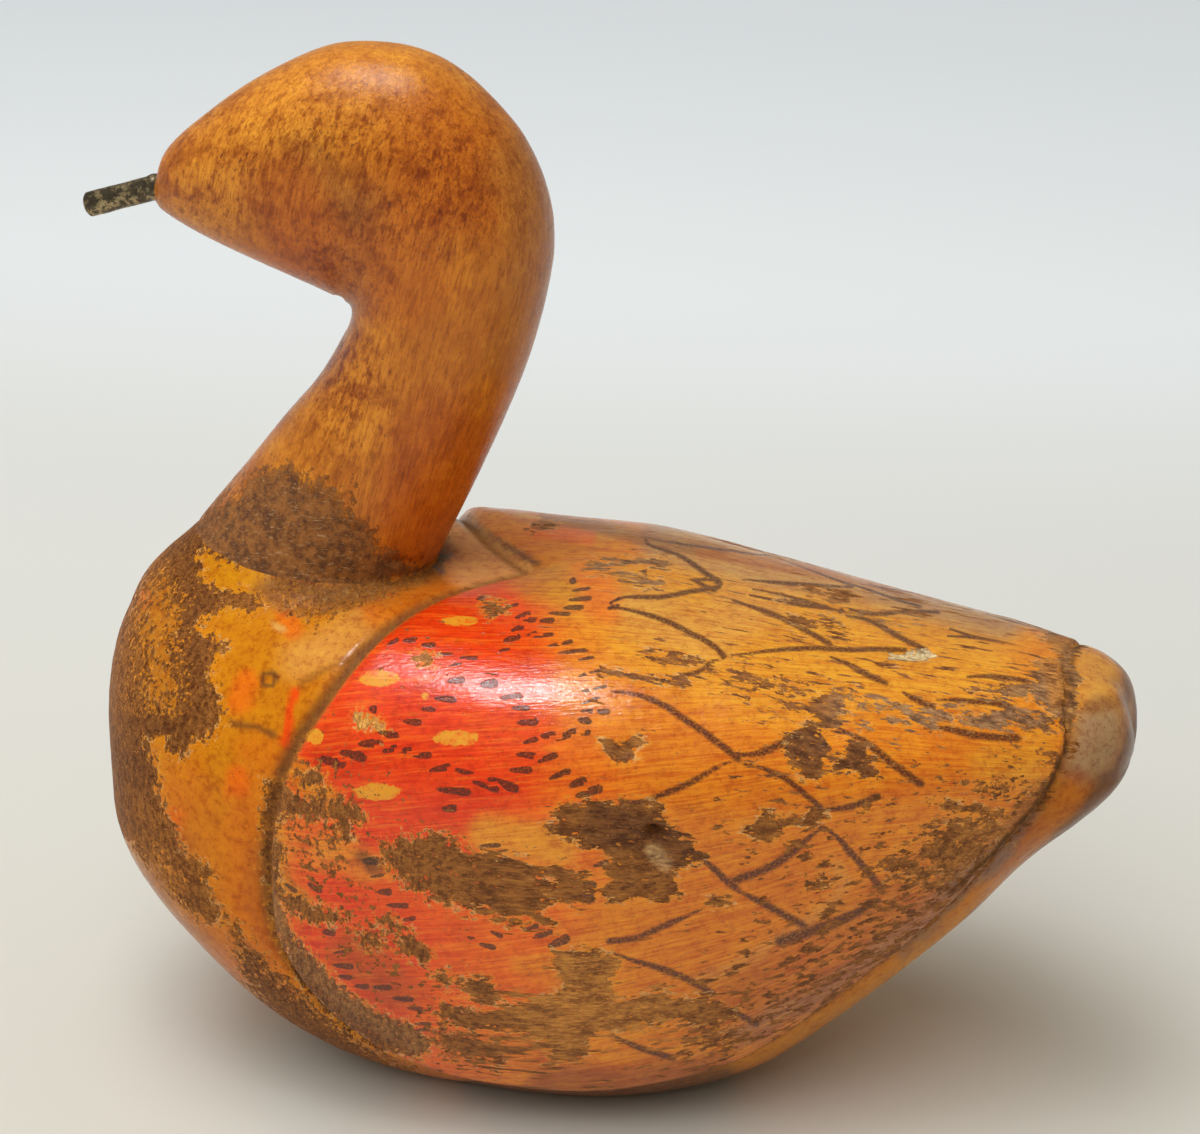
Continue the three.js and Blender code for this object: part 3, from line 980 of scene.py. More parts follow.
    def mottled(self, s: Shading, paint: object, place: object, share: object) -> NodeSocket:
        """Cloudy and speckled paint: darker and redder, or lighter and yellower, by noise.

        Args:
            s: Adds nodes.
            paint: The paint's colour.
            place: The place in millimetres.
            share: How much of the fine speckles is laid.

        Returns:
            The colour.
        """
        paint = s.toned(paint, s.noise(place, 0.13, 5.0, 0.65),
                        (0.50, 0.70, 0.5, (0.76, 0.58, 0.6)), (0.48, 0.30, 0.5, (1.12, 1.28, 1.2)))
        return s.toned(paint, s.noise(place, 0.42, 7.0, 0.78),
                       (0.50, 0.61, share, (0.66, 0.46, 0.5)), (0.48, 0.39, share, (1.08, 1.22, 1.15)))

    def brushed(self, s: Shading, paint: object, wing: object, bands: object, brush: object) -> NodeSocket:
        """The wing's brush streaks, broad and fine, redder and yellower than the paint.

        Args:
            s: Adds nodes.
            paint: The paint's colour.
            wing: The share of the effect, 1 on the wing.
            bands: Broad streaks.
            brush: Fine streaks.

        Returns:
            The colour.
        """
        deep = s.product(paint, (0.82, 0.58, 0.55))
        pale = s.mix(0.33, s.product(paint, (1.10, 1.40, 1.5)), self.streaked)
        for streak, strength in ((bands, 0.75), (brush, 0.85)):
            darker = s.times(s.remap(streak, 0.51, 0.64, 0.0, strength), wing)
            paler = s.times(s.remap(streak, 0.47, 0.34, 0.0, strength), wing)
            paint = s.mix(paler, s.mix(darker, paint, deep), pale)
        return paint

    def bare_wood(self, s: Shading, ground: object, place: object) -> NodeSocket:
        """Old bare wood: fine grain, blotches and a few pale fibres.

        Args:
            s: Adds nodes.
            ground: The wood's colour.
            place: The place in millimetres.

        Returns:
            The colour.
        """
        grain = s.place(Streaks, Place=place, Fineness=1.8, Stretch=9.0)["Value"]
        lighter, darker = s.product(ground, (1.22, 1.22, 1.2)), s.product(ground, (0.62, 0.55, 0.55))
        wood = s.mix(s.remap(grain, 0.30, 0.72), lighter, darker)
        wood = s.toned(wood, s.noise(s.stretched(place, 0.4), 0.45, 7.0, 0.78),
                       (0.50, 0.57, 0.85, (0.46, 0.40, 0.42)), (0.48, 0.41, 0.8, (1.35, 1.45, 1.3)))
        fibre = s.place(Streaks, Place=place, Fineness=3.0, Stretch=7.0)["Value"]
        return s.mix(s.remap(fibre, 0.62, 0.72, 0.0, 0.45), wood, Paint.PALE_WOOD.value)


@dataclass(frozen=True)
class PolishedWood:
    """Bare wood, polished by handling, with a dull patch of old filler at its foot."""

    name: str = "polished_wood"
    pore: Colour = (0.10, 0.033, 0.012)
    pore_share: float = 0.6
    gloss: float = 0.26
    shine: float = 0.36
    dull: float = 0.62

    def make(self) -> Material:
        """Wires the material.

        Returns:
            The material. It reads the colours and masks that HeadAndNeck keeps on its points.
        """
        material, s, shader = new_material(self.name)
        place = s.millimetres()
        grain_place = s.stored("flow").outputs["Vector"]
        filler, speckling, _ = s.split(s.stored("masks").outputs["Vector"])
        wood = s.stored("paint").outputs["Color"]
        grain = s.place(Streaks, Place=grain_place, Fineness=0.9, Stretch=10.0)["Value"]
        lines = s.place(Streaks, Place=grain_place, Fineness=2.6, Stretch=13.0)["Value"]
        mottle = s.noise(grain_place, 0.11, 6.0, 0.7)
        deep, pale = s.product(wood, (0.62, 0.46, 0.42)), s.product(wood, (1.20, 1.35, 1.3))
        wood = s.mix(s.times(s.remap(mottle, 0.49, 0.62), speckling), wood, deep)
        wood = s.mix(s.remap(mottle, 0.49, 0.38, 0.0, 0.6), wood, pale)
        wood = s.toned(wood, s.noise(s.stretched(grain_place, 0.4), 0.55, 6.0, 0.75),
                       (0.50, 0.60, speckling, (0.55, 0.41, 0.38)), (0.48, 0.40, 0.45, (1.15, 1.3, 1.2)))
        wood = s.toned(wood, grain, (0.50, 0.58, 0.5, (0.66, 0.52, 0.45)))
        wood = s.toned(wood, lines, (0.52, 0.60, 0.6, (0.58, 0.45, 0.40)))
        pore_place, cover = s.stretched(grain_place, 0.5), s.times(speckling, 0.42)
        pores = s.place(Specks, Place=pore_place, Fineness=1.5, Cover=cover)["Mask"]
        wood = s.mix(s.times(pores, self.pore_share), wood, self.pore)

        coarse = s.noise(place, 0.32, 8.0, 0.82)
        fill = s.mix(s.remap(coarse, 0.40, 0.60), Paint.FILLER.value, Paint.DARK_WOOD.value)
        fibre = s.place(Streaks, Place=place, Fineness=2.2, Stretch=7.0)["Value"]
        fill = s.mix(s.remap(fibre, 0.58, 0.66, 0.0, 0.6), fill, Paint.PALE_WOOD.value)
        edge = s.place(RaggedEdge, Distance=filler, Place=place, Raggedness=1.2)
        colour = s.mix(s.remap(edge["Torn"], 2.0, -2.5), wood, fill)
        s.feed(shader.inputs["Specular IOR Level"], self.shine)
        rough = s.scale_add(edge["Mask"], self.dull - self.gloss, self.gloss)
        rough = s.strayed(rough, 0.2, s.noise(place, 0.7, 4.0))
        relief = s.heaped(s.times(lines, 0.05), (s.noise(place, 0.9, 6.0, 0.72), 0.14),
                          (s.times(coarse, edge["Mask"]), 0.6))
        s.dress(shader, colour, rough, relief)
        return material


@dataclass(frozen=True)
class OldIron:
    """A dark iron rod with its rust rubbed down to dull yellowish metal in places."""

    name: str = "old_iron"
    dark: Colour = (0.105, 0.086, 0.058)
    rubbed: Colour = (0.46, 0.36, 0.195)
    grime: Colour = (0.030, 0.020, 0.014)

    def make(self) -> Material:
        """Wires the material.

        Returns:
            The material.
        """
        material, s, shader = new_material(self.name)
        place = s.millimetres()
        patches = s.noise(place, 0.45, 5.0, 0.7)
        colour = s.mix(s.remap(patches, 0.47, 0.60), self.dark, self.rubbed)
        pits = s.place(Specks, Place=place, Fineness=2.2, Cover=0.5)["Mask"]
        colour = s.mix(pits, colour, self.grime)
        s.feed(shader.inputs["Metallic"], s.scale_add(pits, -0.6, 0.85, clamp=True))
        rough, relief = s.scale_add(pits, 0.3, 0.36), s.scale_add(pits, -0.08, s.times(patches, 0.1))
        s.dress(shader, colour, rough, relief)
        return material


@dataclass(frozen=True)
class Dent:
    """A hollow in the wood: its middle and half sizes in pixels, its turn and its depth."""

    middle: Point2
    half_length: float
    half_height: float
    degrees: float
    depth: float

    def cut(self, px: Array) -> Array:
        """Depth in millimetres at each pixel.

        Args:
            px: Pixels, of shape (n, 2).

        Returns:
            The depths, 0 outside the dent.
        """
        turn = math.radians(self.degrees)
        away = px - np.array(self.middle)
        along = away @ np.array([math.cos(turn), math.sin(turn)]) / self.half_length
        across = away @ np.array([-math.sin(turn), math.cos(turn)]) / self.half_height
        return self.depth * bump(np.hypot(along, across), 1.0)


@dataclass
class Seat:
    """The neck's seat: an ellipse in a plane that slopes down towards the tail."""

    front: Point2 = (20.0, 133.0)
    back: Point2 = (79.0, 126.0)
    half_width: float = 24.0

    def middle(self) -> Array:
        """The ellipse's middle."""
        return (on_middle(self.front) + on_middle(self.back)) / 2

    def slope(self) -> Array:
        """The direction down the slope, towards the tail."""
        return unit(on_middle(self.back) - on_middle(self.front))

    def normal(self) -> Array:
        """The direction square to the seat, upwards."""
        slope = self.slope()
        return np.array([-slope[2], 0, slope[0]])

    def half_length(self) -> float:
        """Half the ellipse's length."""
        return math.dist(self.front, self.back) / 2


@dataclass
class Body:
    """The body with its folded wings, measured along rays from a centre line.

    A station says where on the line a ray starts: 0 at its front end, 1 at its rear end. From
    0 to -1 the rays fan forward to the breast, and from 1 to 2 they fan back to the tail.
    """

    front: Point2 = (66.0, 66.0)
    rear: Point2 = (192.0, 90.0)
    back_line: Knots = (
        (-1.6, 66), (-3.2, 77), (-3.2, 89.5), (-1, 103.5), (5.2, 116), (22, 126), (42, 127.5),
        (64, 126.5), (84, 125.2), (104, 124.3), (126, 124.8), (158, 121.2), (192, 117),
        (226, 114.4), (238, 112.8), (245, 108.8), (248.7, 100.5), (249.5, 90),
    )
    belly_line: Knots = (
        (-1.6, 66), (3, 54), (13.5, 39.5), (30, 22), (48.5, 6.5), (70, -2), (98, -5), (134, -5),
        (163, 3.5), (186, 21), (211, 45.5), (231, 66.5), (243, 79.5), (249.5, 90),
    )
    half_widths: Knots = (
        (-1.6, 0), (0.2, 20), (9, 38), (25, 52), (48, 61), (85, 66), (120, 66), (155, 60),
        (185, 50), (210, 39.5), (230, 30), (241, 23.5), (246.5, 16), (249.5, 0),
    )
    back_squareness: Knots = (
        (-1, 2), (-0.5, 2.1), (-0.2, 2.4), (0.1, 3.3), (0.25, 3.3), (0.5, 2.9), (1, 2.4),
        (1.5, 2.5), (1.75, 2.3), (2, 2),
    )
    belly_squareness: Knots = (
        (-1, 2), (-0.7, 1.95), (-0.4, 2.1), (0, 2.4), (0.5, 2.5), (1, 2.3), (1.3, 2.2),
        (1.5, 1.85), (1.8, 1.85), (2, 2),
    )
    wing_raise: Knots = ((-1, 2.5), (1, 2.5), (1.5, 1.6), (1.7, 1.2), (2, 1.2))
    wing_front: Knots = (
        (0, 104), (20, 87.5), (45, 72), (65, 58.5), (85, 54.5), (105, 57), (120, 68), (132, 84),
        (139, 103), (143, 130), (146, 165),
    )
    wing_rear: Knots = (
        (0, 232), (40, 234), (70, 234.5), (90, 230.5), (110, 222), (129, 209), (139, 196),
        (144, 181), (146, 165),
    )
    wing_lowest: float = 145.7
    # The shares of the way round the wing's edge between which its rear begins.
    rear_from: Point2 = (0.42, 0.62)
    # How far down from the middle of the back the top turns into the side, in degrees.
    top_turn: Point2 = (10.0, 45.0)
    rim_roundness: float = 2.6
    rim_softness_on_top: float = 14.0
    groove: Knots = ((-0.9, 0), (0, -0.7), (1.4, -1.5), (3.0, -0.6), (4.6, 0))
    groove_on_top: float = 0.3
    groove_at_tail: float = 0.4
    collar_forward: float = 0.7
    collar_flare: float = 0.45
    collar_depth: float = 20.0
    collar_blend_ahead: float = 7.5
    collar_blend_behind: float = 1.5
    collar_turn: float = -5.0
    collar_ease: float = 8.0
    least_rise: float = 0.1
    seat: Seat = field(default_factory=Seat)
    core: Point2 = (122.0, 75.0)
    knife_depth: float = 0.16
    grain_depth: float = 0.05
    paint_thickness: float = 0.12
    dents: tuple[Dent, ...] = (
        Dent((652, 842), 34, 24, 20, 1.6),
        Dent((654, 831), 15, 8, 15, 3.4),
        Dent((664, 862), 12, 14, 0, 1.2),
        Dent((914, 655), 38, 6, 8, 1.3),
        Dent((925, 652), 12, 6, 8, 1.0),
        Dent((886, 665), 20, 3.5, 8, 0.9),
        Dent((625, 750), 16, 9, 0, 0.5),
        Dent((270, 680), 8, 7, 30, 0.5),
        Dent((830, 735), 30, 20, 0, 0.4),
    )
    rows: int = 316
    columns: int = 312
    row_step: float = 0.95
    degree_length: float = 1.15
    outline_samples: int = 240
    edge_samples: int = 260
    station_samples: int = 3000
    angle_samples: int = 3601
    stations_at: float = 60.0
    # The near side is seen down to this angle. Past it and on the far side columns are fewer.
    seen_to: float = 150.0
    unseen_density: float = 0.6
    far_density: float = 0.55
    halvings: int = 26
    soften_passes: int = 40

    def __post_init__(self) -> None:
        """Works out the ray lengths to each outline."""
        mirrored = [(x, -y) for x, y in self.half_widths]
        self.back_ray = self.ray_lengths(self.back_line, self.belly_line, self.off_line)
        self.belly_ray = self.ray_lengths(self.belly_line, self.back_line, self.off_line)
        self.side_ray = self.ray_lengths(self.half_widths, mirrored, lambda x, width: np.abs(width))
        self.back_square = Curve(self.back_squareness)
        self.belly_square = Curve(self.belly_squareness)

    def off_line(self, x: Array, z: Array) -> Array:
        """Height above or below the centre line, which is level past its ends."""
        t = np.clip((x - self.front[0]) / (self.rear[0] - self.front[0]), 0, 1)
        return np.abs(z - self.front[1] - (self.rear[1] - self.front[1]) * t)

    def ray_lengths(self, points: Knots, opposite: Knots, offset: Callable) -> tuple[Array, Array]:
        """Turns an outline into ray lengths by station.

        The outline is a smooth curve through the points, sampled finely. At both ends it runs
        on into the outline opposite.

        Args:
            points: The outline, from the breast to the tail.
            opposite: The outline that it meets at both ends.
            offset: Gives the distance from the centre line for a place on the outline.

        Returns:
            Stations and ray lengths, to interpolate between.
        """
        x, value = smooth_line((opposite[1], *points, opposite[-2]), self.outline_samples, skipped=1).T
        off = offset(x, value)
        ahead, behind = self.front[0] - x, x - self.rear[0]
        station = (x - self.front[0]) / (self.rear[0] - self.front[0])
        station = np.where(ahead > 0, np.arctan2(off, ahead) / (math.pi / 2) - 1, station)
        station = np.where(behind > 0, 2 - np.arctan2(off, behind) / (math.pi / 2), station)
        return station, np.hypot(np.maximum(np.maximum(ahead, behind), 0), off)

    def rays(self, station: Array, angle: Array) -> tuple[Array, Array]:
        """Where rays start, and their directions.

        Args:
            station: Stations.
            angle: Angles down from the back in radians, positive on the duck's left.

        Returns:
            Starts and unit directions, with three coordinates in the last axis.
        """
        t = np.clip(station, 0, 1)
        fan = (station - t + 1) * (math.pi / 2)
        along_x = self.front[0] + (self.rear[0] - self.front[0]) * t
        along_z = self.front[1] + (self.rear[1] - self.front[1]) * t
        way = [-np.cos(fan), -np.sin(fan) * np.sin(angle), np.sin(fan) * np.cos(angle)]
        return np.stack([along_x, 0 * t, along_z], -1), np.stack(way, -1)

    def egg(self, station: Array, angle: Array) -> Array:
        """Ray lengths to the body without its wings: a superellipse at each station.

        Args:
            station: Stations of the rays.
            angle: Angles of the rays, 0 at the top.

        Returns:
            The lengths, in millimetres.
        """
        up = np.cos(angle) > 0
        square = np.where(up, self.back_square(station), self.belly_square(station))
        tall = np.where(up, np.interp(station, *self.back_ray), np.interp(station, *self.belly_ray))
        across = (np.abs(np.sin(angle)) / np.interp(station, *self.side_ray)) ** square
        return (across + (np.abs(np.cos(angle)) / tall) ** square) ** (-1 / square)

    def at(self, station: Array, angle: Array, length: Array) -> Array:
        """The places at given lengths along rays."""
        start, way = self.rays(station, angle)
        return start + way * length[..., None]

    def station_at(self, x: Array, angle: Array) -> Array:
        """The stations whose rays at `angle` meet the egg at x, by halving the interval.

        Args:
            x: Where they meet it.
            angle: Angles of the rays.

        Returns:
            The stations.
        """
        low, high = np.full(x.shape, -1.0), np.full(x.shape, 2.0)
        for _ in range(self.halvings):
            middle = (low + high) / 2
            short = self.at(middle, angle, self.egg(middle, angle))[..., 0] < x
            low, high = np.where(short, middle, low), np.where(short, high, middle)
        return (low + high) / 2

    def collar(self, station: Array, angle: Array) -> Array:
        """Ray lengths to the collar, a cone that spreads from the neck's seat into the body.

        A ray that starts inside the cone ends at the seat's plane, or where it leaves the
        cone's side, found by halving. Other rays have no length.

        Args:
            station: Stations of the rays.
            angle: Angles of the rays.

        Returns:
            The lengths, in millimetres.
        """
        seat = self.seat
        start, way = self.rays(station, angle)
        normal, slope, middle = seat.normal(), seat.slope(), seat.middle()

        def inside(length: Array) -> Array:
            """True where a place along the ray is inside the cone."""
            away = start + way * length[..., None] - middle
            depth = np.maximum(-(away @ normal), 0)
            along = away @ slope
            spread = np.minimum(depth, 2 * self.collar_depth - depth)
            reach = seat.half_length() + np.where(along < 0, self.collar_forward, 0) * spread
            half = seat.half_width + self.collar_flare * spread
            reach, half = np.maximum(reach, 1), np.maximum(half, 1)
            return (along / reach) ** 2 + (away[..., 1] / half) ** 2 < 1

        rising = way @ normal
        rises = rising > self.least_rise
        to_plane = ((middle - start) @ normal) / np.where(rises, rising, 1)
        meets = rises & inside(np.zeros(station.shape))
        low, high = np.zeros(station.shape), to_plane.copy()
        topped = inside(to_plane)
        for _ in range(self.halvings):
            half_way = (low + high) / 2
            within = inside(half_way)
            low, high = np.where(within, half_way, low), np.where(within, high, half_way)
        return np.where(meets, np.where(topped, to_plane, low), 0)

    def wing_edge(self) -> Array:
        """The left wing's edge as a closed run of places, from the back round and home again.

        Returns:
            The places, of shape (n, 3).
        """
        degrees = np.sin(np.linspace(0, math.pi / 2, self.edge_samples)) * self.wing_lowest
        angle = np.radians(degrees)
        runs = []
        for curve in (self.wing_front, self.wing_rear):
            station = self.station_at(Curve(curve)(degrees), angle)
            runs.append(self.at(station, angle, self.egg(station, angle)))
        return np.concatenate([runs[0], runs[1][::-1]])

    def edge_distance(self, points: Array, inside: Array) -> tuple[Array, Array]:
        """Signed distance from the wing's edge, and how far round to the rear the nearest edge is.

        Args:
            points: Places on the egg, of shape (n, 3).
            inside: True for those under a wing.

        Returns:
            Millimetres, positive under the wing, and 0 at the front edge to 1 at the tail.
        """
        edge, near = self.wing_edge(), folded(points)
        best, rear = np.full(len(points), np.inf), np.zeros(len(points))
        for k, (start, end) in enumerate(itertools.pairwise(edge)):
            away = to_segment(near, start, end)[0]
            rear = np.where(away < best, k / len(edge), rear)
            best = np.minimum(best, away)
        return np.where(inside, best, -best), smooth_step(rear, *self.rear_from)

    def surface(self) -> tuple[Array, ...]:
        """Works out the whole surface on a grid of stations and angles.

        Returns:
            Places of shape (rows, columns, 3), then for each its station, angle, distance from
            the wing's edge, share of the rear edge, and the places before the wings and dents.
        """
        station, angle = np.meshgrid(self.spaced_stations(), self.spaced_angles(), indexing="ij")
        egg = self.egg(station, angle)
        bare = self.at(station, angle, egg)
        degrees = np.abs(np.degrees(angle))
        covered = (bare[..., 0] > Curve(self.wing_front)(degrees)) & (degrees < self.wing_lowest)
        covered &= bare[..., 0] < Curve(self.wing_rear)(degrees)
        edge, rear = self.edge_distance(bare.reshape(-1, 3), covered.ravel())
        edge, rear = edge.reshape(station.shape), rear.reshape(station.shape)
        on_top = (1 - smooth_step(degrees, *self.top_turn)) * (1 - rear)
        roundness = self.rim_roundness + self.rim_softness_on_top * on_top
        rounded = np.sqrt(1 - (1 - np.clip(edge / roundness, 0, 1)) ** 2)
        size = 1 + (self.groove_at_tail - 1) * rear
        cut = Curve(self.groove)(-edge / size) * size * (1 + (self.groove_on_top - 1) * on_top)
        length = egg + Curve(self.wing_raise)(station) * rounded + cut
        collar = self.collar(station, angle)
        away = self.at(station, angle, np.maximum(collar, 1)) - self.seat.middle()
        behind = smooth_step(away @ self.seat.slope(), self.collar_turn, self.seat.half_length())
        blend = self.collar_blend_ahead + (self.collar_blend_behind - self.collar_blend_ahead) * behind
        overlap = np.maximum(blend - np.abs(length - collar), 0) / blend
        near = bump(length - collar, self.collar_ease) * (1 - behind)
        length = self.softened(np.maximum(length, collar) + overlap**2 * blend / 4, near)
        return self.at(station, angle, length), station, angle, edge, rear, bare

    def softened(self, length: Array, share: Array) -> Array:
        """Eases ray lengths towards the mean of their neighbours', by a share of 0 to 1.

        Args:
            length: Ray lengths, by station and angle.
            share: The share at each.

        Returns:
            The eased lengths.
        """
        for _ in range(self.soften_passes):
            tall = np.pad(length, ((1, 1), (0, 0)), mode="edge")
            mean = (tall[:-2] + tall[2:] + np.roll(length, 1, 1) + np.roll(length, -1, 1)) / 4
            length = length + share * (mean - length)
        return length

    def spaced_stations(self) -> Array:
        """Stations at even steps along the body's side, without the two end points.

        Returns:
            The stations, one for each row.
        """
        fine = np.linspace(-1, 2, self.station_samples)
        side = np.full(fine.shape, math.radians(self.stations_at))
        along = run_along(self.at(fine, side, self.egg(fine, side)))
        return np.interp(np.linspace(0, along[-1], self.rows + 2)[1:-1], along, fine)

    def spaced_angles(self) -> Array:
        """Angles round the body, closest together on the left side, where the camera is.

        Returns:
            The angles, one for each column.
        """
        fine = np.linspace(-math.pi, math.pi, self.angle_samples)
        near = np.where(fine < math.radians(self.seen_to), 1.0, self.unseen_density)
        density = np.where(fine > 0, near, self.far_density)
        along = np.concatenate([[0], np.cumsum(density[1:])])
        return np.interp(np.linspace(0, along[-1], self.columns + 1)[:-1], along, fine)

    def build(self) -> Object:
        """Builds the piece.

        Returns:
            The painted body with its wings.
        """
        paint = BodyPaint()
        grid, station, angle, edge, rear, bare = self.surface()
        px = VIEW.pixels(grid.reshape(-1, 3))
        normal = grid_normals(grid, on_middle(self.core))
        hollow = sum(dent.cut(px) for dent in self.dents).reshape(station.shape) * (angle > 0)
        knife = self.knife_depth * layered_noise(bare, 14.0, 3)
        grain = self.grain_depth * noise(bare * (0.4, 1, 1), 2.4, 9)
        loss = paint.loss_fields(px)[0].reshape(station.shape)
        worn = self.paint_thickness * smooth_step(-loss, -0.3, 0.6)
        grid = grid + normal * (knife + grain - hollow - worn)[..., None]
        grid[..., 2] = np.maximum(grid[..., 2], 0)
        closed = ClosedGrid(grid, on_middle(self.back_line[0]), on_middle(self.back_line[-1]))
        mesh = closed.mesh("body")
        along = np.broadcast_to(np.arange(self.rows)[:, None] * self.row_step, station.shape)
        along, degrees, edge, rear = map(closed.every, (along, np.degrees(angle), edge, rear))
        paint.lay(mesh, closed.points, edge, rear, np.abs(degrees))
        darkening = paint.darkening(VIEW.pixels(closed.points), edge, rear)
        store(mesh, "flow", along, degrees * self.degree_length, darkening)
        return show("painted_body", mesh, OldPaint().make(), "body")


@dataclass(frozen=True)
class BodyPaint:
    """What is painted on the body and worn off it, in the photograph's pixels."""

    feathers: tuple[BrushLine, ...] = entries(BrushLine, 1, (
        (5, 609, 605, 619, 598, 638, 597, 663, 597, 682, 593, 707, 589, 719, 587),
        (4, 640, 559, 663, 566, 682, 574, 696, 581, 707, 587, 715, 591),
        (5.5, 607, 609, 619, 608, 638, 612, 673, 624, 692, 634, 713, 645, 724, 656),
        (4.5, 723, 659, 711, 662, 705, 668, 698, 672, 684, 675),
        (4.5, 749, 595, 780, 601, 799, 605, 820, 607, 837, 609, 854, 612, 887, 615, 926, 616),
        (4.5, 778, 578, 795, 585, 811, 592, 826, 601, 841, 612),
        (5.5, 732, 600, 764, 611, 782, 618, 801, 628, 816, 636, 830, 644),
        (5, 732, 655, 745, 654, 766, 651, 791, 649, 816, 648, 845, 650, 877, 649, 905, 650),
        (5.5, 847, 616, 865, 619, 881, 626, 894, 634, 907, 641, 926, 650),
        (5.5, 831, 657, 854, 667, 869, 676, 886, 683),
        (6, 902, 692, 917, 700, 933, 708),
        (4, 878, 592, 896, 600, 913, 610, 932, 618),
        (7, 611, 691, 629, 693, 648, 698, 667, 707, 684, 719, 701, 730, 726, 749, 739, 759),
        (6.5, 739, 758, 724, 764, 707, 773, 690, 783, 666, 793, 640, 803, 622, 803),
        (8, 734, 753, 745, 755, 763, 752, 778, 745, 791, 738, 807, 730),
        (6, 743, 764, 759, 767, 772, 772, 786, 779, 799, 789, 822, 809),
        (7.5, 837, 728, 852, 735, 868, 744, 884, 757, 898, 768, 921, 784),
        (7, 822, 809, 838, 809, 859, 804, 877, 796),
        (8, 822, 827, 811, 836, 793, 852, 770, 867, 736, 880),
        (7, 700, 856, 714, 869, 728, 882, 736, 888),
        (7, 735, 889, 760, 902, 783, 914, 803, 925),
        (6, 706, 907, 687, 916, 666, 925, 632, 939, 609, 941),
        (6.5, 612, 953, 632, 960, 662, 969, 689, 980, 713, 994),
        (6, 726, 1008, 742, 1016, 756, 1024),
        (7, 823, 826, 838, 838, 850, 852, 871, 875, 882, 891),
        (10, 880, 900, 850, 916, 815, 930, 780, 941),
        (6, 611, 1035, 643, 1049, 673, 1058),
        (4.5, 947, 636, 984, 638, 1003, 641, 1040, 645),
        (5, 966, 677, 984, 676, 999, 677, 1028, 681),
        (5.5, 937, 700, 957, 700, 976, 702, 993, 703, 1013, 708),
        (7.5, 925, 728, 942, 728, 974, 735, 992, 737, 1018, 738),
    ))
    feather_spread: float = 1.25
    feather_steps: int = 10
    touch_down: float = 0.45
    grown_by: float = 0.45
    # Both ends and the width of each dab of dark paint, five numbers to a dab.
    dabs: tuple[float, ...] = (
        387, 645, 399, 639, 4, 402, 641, 418, 639, 5, 421, 645, 436, 645, 5, 436, 654, 452, 654, 3,
        459, 658, 478, 658, 4, 498, 651, 510, 649, 3, 449, 666, 462, 663, 3, 447, 681, 465, 680, 6,
        480, 685, 498, 683, 8, 434, 698, 457, 700, 6, 500, 698, 523, 696, 6, 420, 709, 436, 709, 5,
        403, 721, 422, 723, 6, 517, 723, 539, 721, 7, 511, 708, 530, 708, 5, 369, 709, 377, 709, 7,
        378, 732, 399, 737, 7, 358, 744, 383, 743, 8, 339, 752, 367, 758, 9, 319, 758, 346, 765, 9,
        382, 752, 397, 747, 6, 399, 751, 412, 750, 6, 413, 756, 432, 755, 6, 429, 771, 451, 766, 6,
        451, 768, 474, 775, 5, 436, 789, 472, 793, 7, 472, 781, 500, 791, 6, 487, 778, 519, 790, 8,
        516, 754, 537, 756, 6, 537, 762, 558, 754, 6, 509, 770, 533, 770, 6, 549, 779, 571, 770, 6,
        569, 786, 587, 779, 8, 575, 797, 603, 787, 8, 523, 743, 539, 738, 5, 539, 737, 556, 734, 6,
        556, 740, 577, 730, 7, 580, 734, 591, 732, 5, 577, 720, 592, 721, 7, 580, 711, 595, 711, 4,
        595, 711, 610, 712, 5, 579, 705, 600, 697, 3, 581, 691, 591, 690, 3, 593, 689, 607, 686, 3,
        578, 677, 588, 673, 3, 588, 673, 603, 670, 3, 578, 660, 594, 657, 3, 558, 653, 588, 650, 4,
        547, 646, 561, 644, 3, 561, 644, 573, 641, 4, 525, 636, 537, 632, 3, 532, 637, 554, 634, 4,
        503, 641, 521, 636, 6, 511, 631, 524, 626, 5, 515, 618, 531, 613, 5, 522, 621, 538, 619, 5,
        538, 621, 555, 620, 5, 548, 613, 571, 614, 4, 563, 608, 584, 607, 5, 568, 600, 592, 598, 4,
        571, 591, 591, 588, 3, 569, 582, 576, 580, 6, 476, 599, 485, 597, 4, 506, 607, 519, 604, 3,
        607, 608, 620, 605, 3, 609, 603, 620, 599, 3, 441, 809, 457, 808, 7, 593, 866, 609, 862, 5,
        577, 884, 597, 885, 6, 548, 892, 563, 893, 6, 561, 893, 595, 899, 10, 524, 931, 539, 925, 5,
        532, 938, 553, 931, 6, 548, 947, 570, 937, 8, 322, 932, 336, 932, 7, 307, 883, 322, 892, 5,
        284, 883, 297, 892, 4, 333, 953, 347, 951, 3, 333, 965, 354, 967, 5, 338, 976, 352, 978, 5,
        339, 987, 347, 987, 3, 354, 986, 370, 987, 5, 372, 987, 392, 988, 5, 392, 998, 414, 1000, 5,
        407, 1008, 423, 1009, 4, 414, 1024, 432, 1024, 4, 414, 1030, 430, 1030, 3, 377, 892, 392, 892, 6,
        386, 905, 409, 906, 5, 402, 920, 416, 918, 4, 362, 861, 379, 861, 8, 370, 877, 384, 875, 3,
        479, 944, 496, 948, 5, 467, 937, 475, 939, 3, 490, 931, 503, 937, 4, 490, 859, 513, 863, 7,
        510, 863, 536, 872, 7, 480, 846, 501, 845, 4,
    )
